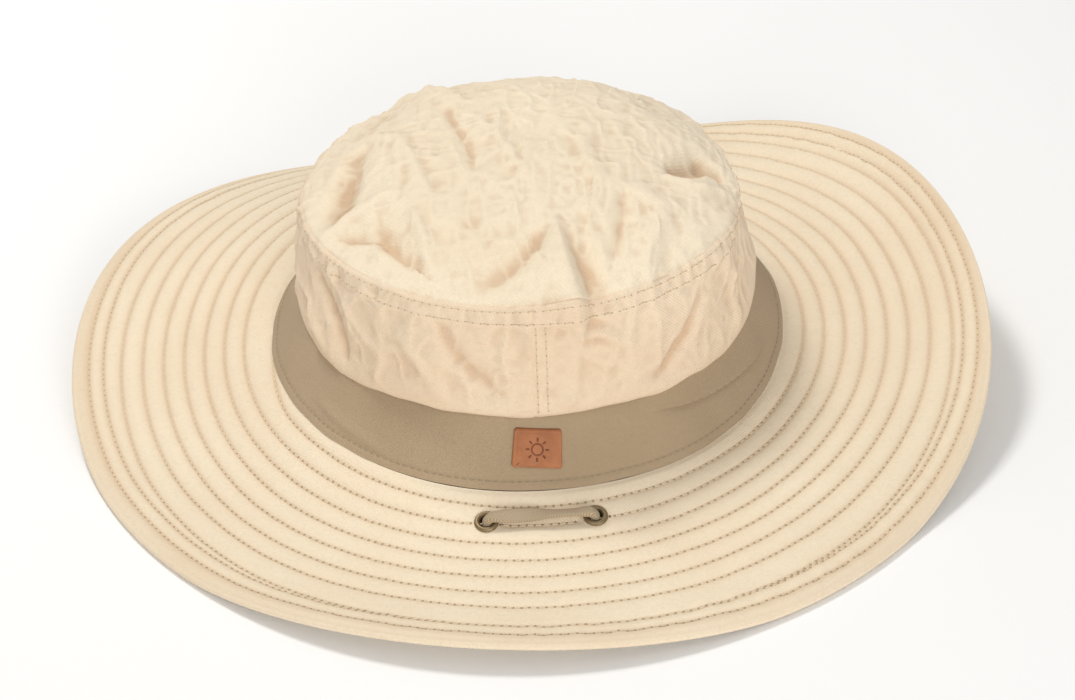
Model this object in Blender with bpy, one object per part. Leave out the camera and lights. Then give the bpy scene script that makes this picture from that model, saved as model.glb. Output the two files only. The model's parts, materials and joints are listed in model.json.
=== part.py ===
"""Boonie hat with a quilted wide brim, lying on a table the way it is put down.

X runs to the right, -Y towards the side with the leather patch, Z up. The table is z = 0 and
the head opening is centred on the Z axis. Angles run anticlockwise from +X, seen from above.
"""

import math

import bmesh
import bpy
import numpy as np
from mathutils import Matrix, Vector

MM = 0.001
GAP = 0.3 * MM  # between neighbouring pieces
PATCH_SIDE = 1.5 * math.pi  # the direction of -Y

# Brim
HEAD_HALF_WIDTH = 92 * MM
HEAD_HALF_LENGTH = 94.5 * MM
BRIM_WIDTH = 75 * MM
SEAM_INSET = 0.6 * MM
HEM_WIDTH = 7 * MM
CLOTH = 0.8 * MM
LIP = 1.0 * MM  # the brim's top cloth turned down over its edge
BRIM_TOP_LIFT = 3 * CLOTH + 2 * GAP
# Heights above the table at sixteen compass points, in millimetres, anticlockwise from +X:
# the soft brim dips and rises, and touches the table at its lowest stretches.
EDGE_HEIGHTS = (34, 43, 33, 12, -1, 4, 15, 20, 11, 0, 0, 6, 6, 1, -1, 13)
HEAD_HEIGHTS = (21, 22.5, 24, 25, 26, 26, 25, 22, 19, 16.5, 14.5, 13, 12.5, 12.5, 13, 17)
BRIM_SAGS = (8, 9, 10, 4, -1, -2, -2, 0, 3, 5, 6.5, 7, 6.5, 2, -2, 0)
WAVES = 6  # how many turns of rise and fall the heights are smoothed to
REACH_STEPS = 12  # of the sum that turns a length of cloth into a reach across the table

# Crown
BAND_HEIGHT = 20 * MM
BAND_THICKNESS = 1.0 * MM
CROWN_HALF_WIDTH = 80 * MM
CROWN_HALF_LENGTH = 79 * MM
TIP_HALF_WIDTH = 79 * MM
TIP_HALF_LENGTH = 77 * MM
TIP_SEAM_HEIGHT = 81 * MM
TIP_SEAM_DIP = 3 * MM  # the seam is this much lower on the patch side and the far side
CROWN_TOP = 98 * MM
CROWN_TOP_SHIFT = 8 * MM  # the highest point lies this far towards +Y
SIDE_BULGE = 1.5 * MM
# Levels of the wall: 0 is the band's foot, 1 its top edge and 2 the seam of the tip
SWEATBAND_TOP = 1.2
SIDE_FOOT = 1.015
SIDE_HEAD = 1.955

# Eyelets, two on each side of the hat
EYELET_SPACING = 38 * MM
EYELET_OUT = 12.5 * MM  # from the head opening
HOLE_RADIUS = 3.1 * MM  # through the brim
HOLE_DEPTH = 20 * MM  # of the cutter
BORE_RADIUS = 2.3 * MM
BARREL_RADIUS = 2.8 * MM
FLANGE_RADIUS = 4.2 * MM
FLANGE_HEIGHT = 0.8 * MM
FLANGE_CROWN = 0.2 * MM
FLANGE_SLOPE = 0.3 * MM
RIM_RADIUS = 3.7 * MM  # of the barrel's end, rolled out under the washer
RIM_THICKNESS = 0.5 * MM
WASHER_THICKNESS = 0.5 * MM
WASHER_RADIUS = 4.4 * MM

# Chin cord
CORD_RADIUS = 2.0 * MM
CORD_STEP = 9 * MM
LOOP_HEIGHT = 3.8 * MM  # of the cord's middle line above the brim, between two eyelets
LOOP_SAG = 0.4 * MM
LOOP_START_DEPTH = 6.2 * MM  # under the left eyelet's seat, where the stop knot begins
LOOP_END_DEPTH = 4.9 * MM  # under the right eyelet's seat, where the cord turns away
STRAND_HEIGHT = 3.9 * MM  # where two strands run side by side through the slide
NEAR_STRAND_Y = -31 * MM
FAR_STRAND_Y = -25 * MM
KNOT_DEPTH = 8.6 * MM
KNOT_RADIUS = 3.4 * MM
KNOT_HALF_HEIGHT = 2.0 * MM
COIL_X = -22 * MM
COIL_RADIUS = 31 * MM
COIL_HALF_WIDTH = 3.2 * MM
COIL_BOTTOM = 1.5 * MM
COIL_TOP = 7.2 * MM
TIE_THICKNESS = 0.8 * MM
TIE_HALF_WIDTH = 3 * MM
TIE_SLACK = 0.3 * MM

# Slide on the chin cord, at the near end of its travel
SLIDE_X = 61 * MM
SLIDE_HALF_LENGTH = 7 * MM
SLIDE_END_RADIUS = 3.6 * MM
SLIDE_END_OUT = 3.75 * MM  # from the slide's middle to the centre of its round end
SLIDE_ARC_STEPS = 8

# Leather patch, along the band and as shares of the band's height
PATCH_HALF_WIDTH = 8.3 * MM
PATCH_FOOT = 0.32
PATCH_HEAD = 0.82
PATCH_THICKNESS = 1.2 * MM

RING_STEPS = 60
HALF_STEPS = 30
BRIM_STEPS = 5
BAND_STEPS = 2


def clear_scene():
    for obj in list(bpy.data.objects):
        bpy.data.objects.remove(obj, do_unlink=True)


def cloth_material(name, colour, roughness=0.9, metallic=0.0):
    material = bpy.data.materials.new(name)
    material.use_nodes = True
    shader = material.node_tree.nodes["Principled BSDF"]
    shader.inputs["Base Color"].default_value = (*colour, 1.0)
    shader.inputs["Roughness"].default_value = roughness
    shader.inputs["Metallic"].default_value = metallic
    return material


def add_object(name, points, faces, material, smooth_angle=40):
    mesh = bpy.data.meshes.new(name)
    mesh.from_pydata([tuple(p) for p in points], [], faces)
    solid = bmesh.new()
    solid.from_mesh(mesh)
    bmesh.ops.recalc_face_normals(solid, faces=solid.faces)
    bmesh.ops.triangulate(solid, faces=solid.faces)
    solid.to_mesh(mesh)
    solid.free()
    mesh.materials.append(material)
    mesh.shade_smooth()
    mesh.set_sharp_from_angle(angle=math.radians(smooth_angle))
    obj = bpy.data.objects.new(name, mesh)
    bpy.context.scene.collection.objects.link(obj)
    return obj


# Shape of the brim and the crown


def around(heights, angle):
    """The smooth wave through the compass heights, in metres."""
    waves = np.fft.rfft(heights) / len(heights)
    total = waves[0].real
    for n in range(1, WAVES + 1):
        total += 2 * (waves[n].real * math.cos(n * angle) - waves[n].imag * math.sin(n * angle))
    return total * MM


def head_normal(angle):
    across = math.cos(angle) / HEAD_HALF_WIDTH
    along = math.sin(angle) / HEAD_HALF_LENGTH
    return Vector((across, along, 0)).normalized()


def brim_point(angle, out, lift):
    """The point this far out along the brim's cloth from the head opening, lifted straight up."""
    foot = around(HEAD_HEIGHTS, angle)
    rise = around(EDGE_HEIGHTS, angle) - foot
    sag = around(BRIM_SAGS, angle)
    share = out / BRIM_WIDTH
    reach = 0.0
    for step in range(REACH_STEPS):
        slope = rise - 4 * sag * (1 - 2 * (step + 0.5) / REACH_STEPS * share)
        reach += math.sqrt(BRIM_WIDTH**2 - slope**2) * share / REACH_STEPS
    height = foot + rise * share - 4 * sag * share * (1 - share)
    x = HEAD_HALF_WIDTH * math.cos(angle)
    y = HEAD_HALF_LENGTH * math.sin(angle)
    side = head_normal(angle) * reach
    return Vector((x + side.x, y + side.y, max(height, 0.0) + lift))


def wall_line(angle, level):
    """The outer face of the wall: level 0 to 1 up the band, 1 to 2 up the crown's side."""
    base = brim_point(angle, 0.0, BRIM_TOP_LIFT + GAP)
    turn = Vector((math.cos(angle), math.sin(angle), 0))
    crown = Vector((turn.x * CROWN_HALF_WIDTH, turn.y * CROWN_HALF_LENGTH, base.z + BAND_HEIGHT))
    if level <= 1:
        return base.lerp(crown, level)
    seam_height = TIP_SEAM_HEIGHT - TIP_SEAM_DIP * math.sin(angle) ** 2
    seam = Vector((turn.x * TIP_HALF_WIDTH, turn.y * TIP_HALF_LENGTH, seam_height))
    bulge = SIDE_BULGE * math.sin(math.pi * (level - 1))
    return crown.lerp(seam, level - 1) + turn * bulge


def wall_point(angle, level, out):
    """A point of the wall, moved straight outwards."""
    turn = Vector((math.cos(angle), math.sin(angle), 0))
    return wall_line(angle, level) + turn * out


def tip_point(angle, share, down):
    """A point of the domed tip, from the centre, share 0, to its seam, share 1."""
    seam = wall_line(angle, 2.0)
    centre = Vector((0, CROWN_TOP_SHIFT, CROWN_TOP))
    flat = centre.lerp(seam, share)
    height = centre.z + (seam.z - centre.z) * share**3
    return Vector((flat.x, flat.y, height - down))


def strip(start, end, steps):
    return [start + (end - start) * step / steps for step in range(steps + 1)]


# Solids carried round the hat


def ring_solid(name, section, place, material, start=0.0, turn=2 * math.pi, steps=RING_STEPS):
    """The section's points carried round the hat, closed on itself or capped at both ends."""
    whole = turn == 2 * math.pi
    rows = steps if whole else steps + 1
    count = len(section)
    points = []
    for row in range(rows):
        angle = start + turn * row / steps
        points += [place(angle, *pair) for pair in section]
    faces = []
    for row in range(steps):
        here = row * count
        there = (row + 1) % rows * count
        for i in range(count):
            j = (i + 1) % count
            faces.append((here + i, here + j, there + j, there + i))
    if not whole:
        # Each end is closed with the quads between the section's two long sides.
        for base in (0, steps * count):
            for i in range(count // 2 - 1):
                faces.append((base + i, base + i + 1, base + count - 2 - i, base + count - 1 - i))
    return add_object(name, points, faces, material)


def slab(along, low, high):
    """Section of a cloth layer: out along its low face, then back along its high face."""
    return [(u, low) for u in along] + [(u, high) for u in reversed(along)]


def brim_layers(cream, felt):
    edge = BRIM_WIDTH - LIP
    low = 2 * (CLOTH + GAP)
    quilted = strip(SEAM_INSET, BRIM_WIDTH - HEM_WIDTH, BRIM_STEPS)
    underside = slab(quilted + [edge - GAP], 0, CLOTH)
    core = slab(quilted, CLOTH + GAP, 2 * CLOTH + GAP)
    top = [(u, low) for u in quilted + [edge]]
    top += [(edge, GAP), (BRIM_WIDTH, GAP), (BRIM_WIDTH, BRIM_TOP_LIFT)]
    top += [(u, BRIM_TOP_LIFT) for u in reversed(quilted)]
    return [
        ring_solid("brim_underside", underside, brim_point, cream),
        ring_solid("brim_interlining", core, brim_point, felt),
        ring_solid("brim_top", top, brim_point, cream),
    ]


def wall_section(levels, outside, inside):
    return [(v, outside) for v in levels] + [(v, inside) for v in reversed(levels)]


def hatband(khaki):
    section = wall_section(strip(0.0, 1.0, BAND_STEPS), 0.0, -BAND_THICKNESS)
    return ring_solid("hatband", section, wall_point, khaki)


def sweatband(khaki):
    outside = -BAND_THICKNESS - 2 * GAP
    levels = strip(0.0, 1.0, BAND_STEPS) + [SWEATBAND_TOP]
    section = wall_section(levels, outside, outside - BAND_THICKNESS)
    return ring_solid("sweatband", section, wall_point, khaki)


def crown_sides(cream):
    """Two half panels, joined by seams on the patch side and the far side."""
    section = wall_section(strip(SIDE_FOOT, SIDE_HEAD, 4), 0.0, -CLOTH)
    seam = GAP / 2 / CROWN_HALF_LENGTH
    turn = math.pi - 2 * seam
    for name, start in (("crown_side_right", -math.pi / 2), ("crown_side_left", math.pi / 2)):
        ring_solid(name, section, wall_point, cream, start + seam, turn, HALF_STEPS)


def crown_tip(cream):
    """The domed top panel, a shell closed at its rim."""
    shares = [1.0, 0.9, 0.75, 0.55, 0.3]
    rings = [(share, 0.0) for share in reversed(shares)] + [(share, CLOTH) for share in shares]
    points = []
    for share, down in rings:
        points += [tip_point(2 * math.pi * i / RING_STEPS, share, down) for i in range(RING_STEPS)]
    faces = []
    for ring in range(len(rings) - 1):
        for i in range(RING_STEPS):
            j = (i + 1) % RING_STEPS
            here = ring * RING_STEPS
            there = here + RING_STEPS
            faces.append((here + i, here + j, there + j, there + i))
    for first, down in ((0, 0.0), ((len(rings) - 1) * RING_STEPS, CLOTH)):
        points.append(tip_point(0.0, 0.0, down))
        for i in range(RING_STEPS):
            faces.append((first + i, first + (i + 1) % RING_STEPS, len(points) - 1))
    return add_object("crown_tip", points, faces, cream)


def leather_patch(leather):
    half_turn = 2 * PATCH_HALF_WIDTH / (HEAD_HALF_LENGTH + CROWN_HALF_LENGTH)
    section = wall_section(strip(PATCH_FOOT, PATCH_HEAD, 2), GAP + PATCH_THICKNESS, GAP)
    start = PATCH_SIDE - half_turn
    return ring_solid("leather_patch", section, wall_point, leather, start, 2 * half_turn, 6)


# Eyelets


def eyelet_frame(side, hand):
    """Where an eyelet sits: side -1 is the patch side, hand -1 is left. Its Z leaves the brim."""
    reach = HEAD_HALF_LENGTH + EYELET_OUT
    angle = math.atan2(side * reach, hand * EYELET_SPACING / 2)
    here = brim_point(angle, EYELET_OUT, BRIM_TOP_LIFT)
    step = 1.5 * MM
    outwards = brim_point(angle, EYELET_OUT + step, BRIM_TOP_LIFT) - here
    along = brim_point(angle + step / reach, EYELET_OUT, BRIM_TOP_LIFT) - here
    normal = outwards.cross(along).normalized()
    across = Vector((1, 0, 0)) - normal * normal.x
    across.normalize()
    frame = Matrix((across, normal.cross(across), normal)).transposed().to_4x4()
    frame.translation = here
    return frame


EYELETS = {"near_left": (-1, -1), "near_right": (-1, 1), "far_left": (1, -1), "far_right": (1, 1)}


def turned_solid(name, profile, frame, material, steps=20):
    """The closed profile of (radius, height) pairs, turned round the frame's Z axis."""
    count = len(profile)
    points = []
    for row in range(steps):
        angle = 2 * math.pi * row / steps
        for radius, height in profile:
            points.append(frame @ Vector((radius * math.cos(angle), radius * math.sin(angle), height)))
    faces = []
    for row in range(steps):
        here = row * count
        there = (row + 1) % steps * count
        for i in range(count):
            j = (i + 1) % count
            faces.append((here + i, here + j, there + j, there + i))
    return add_object(name, points, faces, material)


def eyelets(brass):
    under = -BRIM_TOP_LIFT - GAP
    rim = under - WASHER_THICKNESS - GAP
    shell = [
        (BORE_RADIUS, rim - RIM_THICKNESS),
        (RIM_RADIUS, rim - RIM_THICKNESS),
        (RIM_RADIUS, rim),
        (BARREL_RADIUS, rim),
        (BARREL_RADIUS, GAP),
        (FLANGE_RADIUS, GAP),
        (FLANGE_RADIUS - FLANGE_SLOPE, FLANGE_HEIGHT),
        (BORE_RADIUS + FLANGE_SLOPE, FLANGE_HEIGHT + FLANGE_CROWN),
        (BORE_RADIUS, FLANGE_HEIGHT),
    ]
    washer = [
        (HOLE_RADIUS, under),
        (WASHER_RADIUS, under),
        (WASHER_RADIUS, under - WASHER_THICKNESS),
        (HOLE_RADIUS, under - WASHER_THICKNESS),
    ]
    for name, (side, hand) in EYELETS.items():
        frame = eyelet_frame(side, hand)
        turned_solid(f"{name}_eyelet", shell, frame, brass)
        turned_solid(f"{name}_washer", washer, frame, brass)


def pin_holes(targets, name, frames, radius, depth):
    """Cuts round holes along each frame's Z axis through the targets, with one cutter of pins."""
    pins = bmesh.new()
    for frame in frames:
        bmesh.ops.create_cone(
            pins, cap_ends=True, segments=20, radius1=radius, radius2=radius, depth=depth, matrix=frame
        )
    mesh = bpy.data.meshes.new(f"{name}_cutter")
    pins.to_mesh(mesh)
    pins.free()
    cutter = bpy.data.objects.new(f"{name}_cutter", mesh)
    bpy.context.scene.collection.objects.link(cutter)
    cutter.hide_render = True
    cutter.display_type = "WIRE"
    for target in targets:
        cut = target.modifiers.new(name, "BOOLEAN")
        cut.operation = "DIFFERENCE"
        cut.solver = "EXACT"
        cut.object = cutter


def eyelet_holes(layers):
    frames = [eyelet_frame(side, hand) for side, hand in EYELETS.values()]
    pin_holes(layers, "eyelet_holes", frames, HOLE_RADIUS, HOLE_DEPTH)


# Chin cord


def smooth_route(route):
    """Points along a Catmull-Rom curve through the route, closer where the route's are close."""
    ends = [route[0] * 2 - route[1]] + route + [route[-1] * 2 - route[-2]]
    points = [route[0]]
    for before, a, b, after in zip(ends, ends[1:], ends[2:], ends[3:]):
        steps = max(1, round((b - a).length / CORD_STEP))
        for step in range(1, steps + 1):
            t = step / steps
            points.append(
                0.5 * (2 * a + (b - before) * t + (2 * before - 5 * a + 4 * b - after) * t**2
                       + (3 * a - before - 3 * b + after) * t**3)
            )
    return points


def cord_tube(name, route, material):
    curve = bpy.data.curves.new(name, "CURVE")
    curve.dimensions = "3D"
    curve.bevel_depth = CORD_RADIUS
    curve.bevel_resolution = 2
    curve.use_fill_caps = True
    spline = curve.splines.new("POLY")
    points = smooth_route(route)
    spline.points.add(len(points) - 1)
    for place, point in zip(spline.points, points):
        place.co = (*point, 1.0)
    curve.materials.append(material)
    tube = bpy.data.objects.new(name, curve)
    bpy.context.scene.collection.objects.link(tube)
    return tube


def loop_over(side):
    """The cord up through the left eyelet, across and down the right one, as points."""
    left = eyelet_frame(side, -1)
    right = eyelet_frame(side, 1)
    bend = LOOP_HEIGHT - GAP
    corner = bend * (1 - math.sqrt(0.5))
    over = [(0, GAP), (corner, LOOP_HEIGHT - corner), (bend, LOOP_HEIGHT)]
    up = [left @ Vector((x, 0, z)) for x, z in over]
    down = [right @ Vector((-x, 0, z)) for x, z in reversed(over)]
    middle = [up[-1].lerp(down[0], share) - Vector((0, 0, LOOP_SAG)) for share in (0.3, 0.7)]
    start = left @ Vector((0, 0, -LOOP_START_DEPTH))
    end = right @ Vector((0, 0, -LOOP_END_DEPTH))
    return [start] + up + middle + down + [end]


def millimetre_points(*places):
    return [Vector(place) * MM for place in places]


def chin_cord(khaki):
    near_leg = millimetre_points(
        (20.5, -99, 3.4), (25, -95.5, 2.4), (35, -91, 2.4), (50, -84, 2.4), (66, -76, 2.4),
        (81, -66, 2.4), (91, -54, 2.4), (91, -41, 2.8), (83, -32.6, 3.6), (74, -31, 3.9),
        (66, -31, 3.9), (40, -31, 3.9), (14, -31, 3.9), (-2.4, -31, 3.9),
    )
    cord_tube("chin_cord_near", loop_over(-1) + near_leg, khaki)
    far_leg = millimetre_points(
        (20.5, 102, 16.5), (24, 97.5, 12), (32, 90.5, 7), (44, 82, 3.4), (60, 71, 2.4),
        (77, 53, 2.4), (89, 30, 2.4), (94, 5, 2.4), (92, -13, 2.8), (84, -23.4, 3.6),
        (75, -25, 3.9), (66, -25, 3.9), (45, -25, 3.9), (26, -25, 3.9), (18, -23.4, 4.3),
        (12.5, -19.5, 5),
    )
    cord_tube("chin_cord_far", loop_over(1) + far_leg, khaki)


def cord_coil(khaki):
    profile = [
        (COIL_RADIUS - COIL_HALF_WIDTH, COIL_BOTTOM),
        (COIL_RADIUS + COIL_HALF_WIDTH, COIL_BOTTOM),
        (COIL_RADIUS + COIL_HALF_WIDTH, COIL_TOP),
        (COIL_RADIUS - COIL_HALF_WIDTH, COIL_TOP),
    ]
    turned_solid("chin_cord_coil", profile, Matrix.Translation((COIL_X, 0, 0)), khaki, 32)


def coil_tie(tape):
    """A strap round the coil's turns on the side away from the slide."""
    x = COIL_X - COIL_RADIUS
    inner_x = COIL_HALF_WIDTH + GAP + TIE_SLACK
    loops = []
    for grow in (0.0, TIE_THICKNESS):
        low = COIL_BOTTOM - GAP - grow
        high = COIL_TOP + GAP + grow
        reach = inner_x + grow
        loops.append([(x - reach, low), (x + reach, low), (x + reach, high), (x - reach, high)])
    ends = (-TIE_HALF_WIDTH, TIE_HALF_WIDTH)
    points = [(px, y, pz) for y in ends for loop in loops for px, pz in loop]
    faces = []
    for i in range(4):
        j = (i + 1) % 4
        faces.append((i, j, 4 + j, 4 + i))
        faces.append((8 + i, 12 + i, 12 + j, 8 + j))
        faces.append((i, 8 + i, 8 + j, j))
        faces.append((4 + i, 4 + j, 12 + j, 12 + i))
    return add_object("chin_cord_tie", points, faces, tape)


def stop_knot(name, side, khaki):
    """The lump under the left eyelet that keeps the cord's end from pulling through."""
    knot = bmesh.new()
    bmesh.ops.create_icosphere(knot, subdivisions=2, radius=1.0)
    bmesh.ops.scale(knot, verts=knot.verts, vec=(KNOT_RADIUS, KNOT_RADIUS, KNOT_HALF_HEIGHT))
    centre = eyelet_frame(side, -1) @ Vector((0, 0, -KNOT_DEPTH))
    bmesh.ops.translate(knot, verts=knot.verts, vec=centre)
    mesh = bpy.data.meshes.new(name)
    knot.to_mesh(mesh)
    knot.free()
    mesh.materials.append(khaki)
    mesh.shade_smooth()
    obj = bpy.data.objects.new(name, mesh)
    bpy.context.scene.collection.objects.link(obj)
    return obj


def cord_slide(leather):
    """The bead with two holes that both strands run through. It slides along X."""
    bead = bmesh.new()
    outline = []
    for hand in (1, -1):
        for step in range(SLIDE_ARC_STEPS + 1):
            angle = math.pi * (step / SLIDE_ARC_STEPS - hand / 2)
            y = hand * SLIDE_END_OUT + SLIDE_END_RADIUS * math.cos(angle)
            z = SLIDE_END_RADIUS * math.sin(angle)
            outline.append(bead.verts.new((-SLIDE_HALF_LENGTH, y, z)))
    foot = bead.faces.new(outline)
    grown = bmesh.ops.extrude_face_region(bead, geom=[foot])
    moved = [part for part in grown["geom"] if isinstance(part, bmesh.types.BMVert)]
    bmesh.ops.translate(bead, verts=moved, vec=(2 * SLIDE_HALF_LENGTH, 0, 0))
    bmesh.ops.recalc_face_normals(bead, faces=bead.faces)
    mesh = bpy.data.meshes.new("cord_slide")
    bead.to_mesh(mesh)
    bead.free()
    mesh.materials.append(leather)
    obj = bpy.data.objects.new("cord_slide", mesh)
    obj.location = (SLIDE_X, (NEAR_STRAND_Y + FAR_STRAND_Y) / 2, STRAND_HEIGHT)
    bpy.context.scene.collection.objects.link(obj)
    along_x = Matrix.Rotation(math.pi / 2, 4, "Y")
    frames = [
        Matrix.Translation((SLIDE_X, y, STRAND_HEIGHT)) @ along_x for y in (NEAR_STRAND_Y, FAR_STRAND_Y)
    ]
    pin_holes([obj], "strand_holes", frames, BORE_RADIUS, 4 * SLIDE_HALF_LENGTH)
    return obj


def build():
    clear_scene()
    cream = cloth_material("cream_cloth", (0.89, 0.75, 0.54))
    khaki = cloth_material("khaki_cloth", (0.47, 0.36, 0.21))
    felt = cloth_material("interlining_felt", (0.85, 0.83, 0.78))
    leather = cloth_material("tan_leather", (0.52, 0.2, 0.07), 0.6)
    brass = cloth_material("antique_brass", (0.3, 0.22, 0.12), 0.35, 1.0)
    tape = cloth_material("tie_tape", (0.75, 0.72, 0.65), 0.7)
    layers = brim_layers(cream, felt)
    eyelet_holes(layers)
    hatband(khaki)
    sweatband(khaki)
    crown_sides(cream)
    crown_tip(cream)
    leather_patch(leather)
    eyelets(brass)
    chin_cord(khaki)
    cord_coil(khaki)
    coil_tie(tape)
    stop_knot("near_stop_knot", -1, khaki)
    stop_knot("far_stop_knot", 1, khaki)
    cord_slide(leather)


build()
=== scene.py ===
"""Looks of the boonie hat: quilted brim, crumpled crown, hatband, leather patch, eyelets and chin lace.

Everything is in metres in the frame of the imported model: X to the right, -Y towards the side with
the leather patch, Z up, the table at z = 0. Angles run anticlockwise from +X, seen from above.
"""

import json
import math

import bmesh
import bpy
import numpy as np
from mathutils import Matrix, Quaternion, Vector

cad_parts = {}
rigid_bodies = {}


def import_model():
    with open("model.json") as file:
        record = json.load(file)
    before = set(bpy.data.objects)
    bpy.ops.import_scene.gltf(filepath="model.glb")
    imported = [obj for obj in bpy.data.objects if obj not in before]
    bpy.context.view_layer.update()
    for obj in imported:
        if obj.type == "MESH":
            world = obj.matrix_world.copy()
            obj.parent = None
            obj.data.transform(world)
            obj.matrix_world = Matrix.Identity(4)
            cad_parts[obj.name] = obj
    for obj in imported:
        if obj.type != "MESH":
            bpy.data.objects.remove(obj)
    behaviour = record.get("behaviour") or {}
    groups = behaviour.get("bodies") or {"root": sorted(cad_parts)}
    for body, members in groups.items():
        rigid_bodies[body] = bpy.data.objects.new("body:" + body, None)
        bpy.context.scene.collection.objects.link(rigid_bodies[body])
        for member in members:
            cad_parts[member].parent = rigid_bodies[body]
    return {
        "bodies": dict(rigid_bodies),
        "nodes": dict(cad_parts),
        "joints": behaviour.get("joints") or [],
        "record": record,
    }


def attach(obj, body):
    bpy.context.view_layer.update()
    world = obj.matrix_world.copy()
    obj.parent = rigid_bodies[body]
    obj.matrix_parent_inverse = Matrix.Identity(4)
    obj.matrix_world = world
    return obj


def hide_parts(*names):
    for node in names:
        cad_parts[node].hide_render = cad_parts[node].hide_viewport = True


MM = 0.001
TURN = 2 * math.pi
FRONT = -0.5 * math.pi  # the direction of the leather patch
UP = np.array([0.0, 0.0, 1.0])

# The hat's shape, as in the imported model. Each row of 16 heights, in millimetres, runs round from +X.
HEAD_HALF_WIDTH = 92 * MM
HEAD_HALF_LENGTH = 94.5 * MM
BRIM_WIDTH = 75 * MM
BRIM_MIDDLE = HEAD_HALF_WIDTH + BRIM_WIDTH / 2
BRIM_LIFT = 3 * MM  # of the brim's top face over its lowest face
EDGE_HEIGHTS = (34, 43, 33, 12, -1, 4, 15, 20, 11, 0, 0, 6, 6, 1, -1, 13)
HEAD_HEIGHTS = (21, 22.5, 24, 25, 26, 26, 25, 22, 19, 16.5, 14.5, 13, 12.5, 12.5, 13, 17)
BRIM_SAGS = (8, 9, 10, 4, -1, -2, -2, 0, 3, 5, 6.5, 7, 6.5, 2, -2, 0)
WAVES = 6  # that the heights are smoothed into
REACH_STEPS = 12  # in which a sagging brim's level reach is added up
TOUCH_SOFTNESS = 0.5 * MM  # of the bend where the brim comes down on the table
BAND_HEIGHT = 20 * MM  # from the brim to the crown's side
CROWN_HALF_WIDTH = 80 * MM
CROWN_HALF_LENGTH = 79 * MM
TIP_HALF_WIDTH = 79 * MM
TIP_HALF_LENGTH = 77 * MM
TIP_SEAM_HEIGHT = 81 * MM
TIP_SEAM_DIP = 3 * MM  # at the near and far side
CROWN_TOP = 97 * MM
CROWN_TOP_SHIFT = 8 * MM  # towards the far side
SIDE_BULGE = 1.5 * MM
CLOTH = 0.8 * MM
CLOTH_CLEARANCE = 0.02 * MM  # of the brim's quilting over the table

# Hatband, sweatband and leather patch
BAND_WIDTH = 25 * MM  # of the hatband's cloth, up its slant
BAND_RADIUS = 86 * MM
BAND_LENGTH = TURN * 88 * MM  # halfway up the band's slant
BAND_ROW = 2.6 * MM  # of stitches, over the hatband's lower edge
PATCH_HALF_WIDTH = 8.3 * MM
PATCH_HALF_HEIGHT = 6.4 * MM
PATCH_THICKNESS = 1.2 * MM
PATCH_TILT = 0.08
PATCH_LEVEL = 0.57  # of its middle, up the band
PATCH_RADIUS = 86.7 * MM

# Eyelets and lace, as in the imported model. Side -1 is the patch side, and hand -1 is the left.
SIDE_NAMES = {-1: "near", 1: "far"}
HAND_NAMES = {-1: "left", 1: "right"}
EYELETS = [(side, hand) for side in SIDE_NAMES for hand in HAND_NAMES]
EYELET_SPACING = 38 * MM
EYELET_OUT = 12.5 * MM  # from the head opening
BORE_RADIUS = 2.3 * MM
HOLE_RADIUS = 3.1 * MM
FLANGE_RADIUS = 4.2 * MM
LOOP_HEIGHT = 3.3 * MM
STRAND_HEIGHT = 3.9 * MM
NEAR_STRAND_Y = -31 * MM
FAR_STRAND_Y = -25 * MM
STRANDS_MIDDLE_Y = (NEAR_STRAND_Y + FAR_STRAND_Y) / 2
COIL_X = -22 * MM
COIL_RADIUS = 31 * MM
LACE_WIDTH = 5.6 * MM
LACE_THICKNESS = 1.7 * MM
LACE_STRAND = 0.9 * MM  # from one strand of the braid to the next
SLIDE_X = 61 * MM

# Quilting: one spiral of stitches, then two rows along the hem
ROW_FIRST = 4.2 * MM
ROW_PITCH = 7.4 * MM
ROW_DRIFT = 1.0 * MM  # how much further out than an even spiral the last turn lies
SPIRAL_TURNS = 8.0
SPIRAL_MEETS = 7.26  # where the last turn touches the hem's inner row before it runs on
SPIRAL_START = math.pi
HEM_ROW = 64.4 * MM  # from the head opening to the inner hem row
HEM_ROW_SWAY = 2.4 * MM  # further out at the far side, and further in at the patch side
HEM_ROW_SHIFT = 0.8 * MM  # further out at the right
HEM_ROW_GAP = 5.2 * MM
UNDER_LIFT = 0.42 * MM  # of the under cloth's face, which is quilted downwards
UNDER_QUILTING = -0.9
BRIM_COLUMNS = 1000
ROW_STEP = 0.25 * MM  # between the points that a row of stitches is worked out from
STITCH = 2.7 * MM
THREAD = 0.26 * MM
THREAD_CLEARANCE = 0.25 * MM  # of a stitch's middle over the table

# Crumpling of the crown: height of each layer in millimetres, size of its bumps, seed of its noise
CLOTH_BUMPS = ((0.8, 24, 10), (0.35, 10, 12), (0.2, 3, 15))
TIP_CREASES = ((0.45, (6, 13, 13), 13), (0.75, (4, 9, 9), 18), (0.35, (9, 4.5, 9), 19))
SIDE_CREASES = ((1.15, (10, 10, 18), 14), (0.7, (6, 6, 8), 20))
CREASE_MEAN = 0.3  # height of the creases' noise that leaves the cloth where it is
SEAM_PUCKERS = ((0.6, (2, 2, 9), 16), (0.6, (4.4, 4.4, 12), 17))
SEAM_LEAN = 0.7  # how far the cloth at the tip's seam moves outwards and up at once
SEAM_LEAN_REACH = 12 * MM

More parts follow.
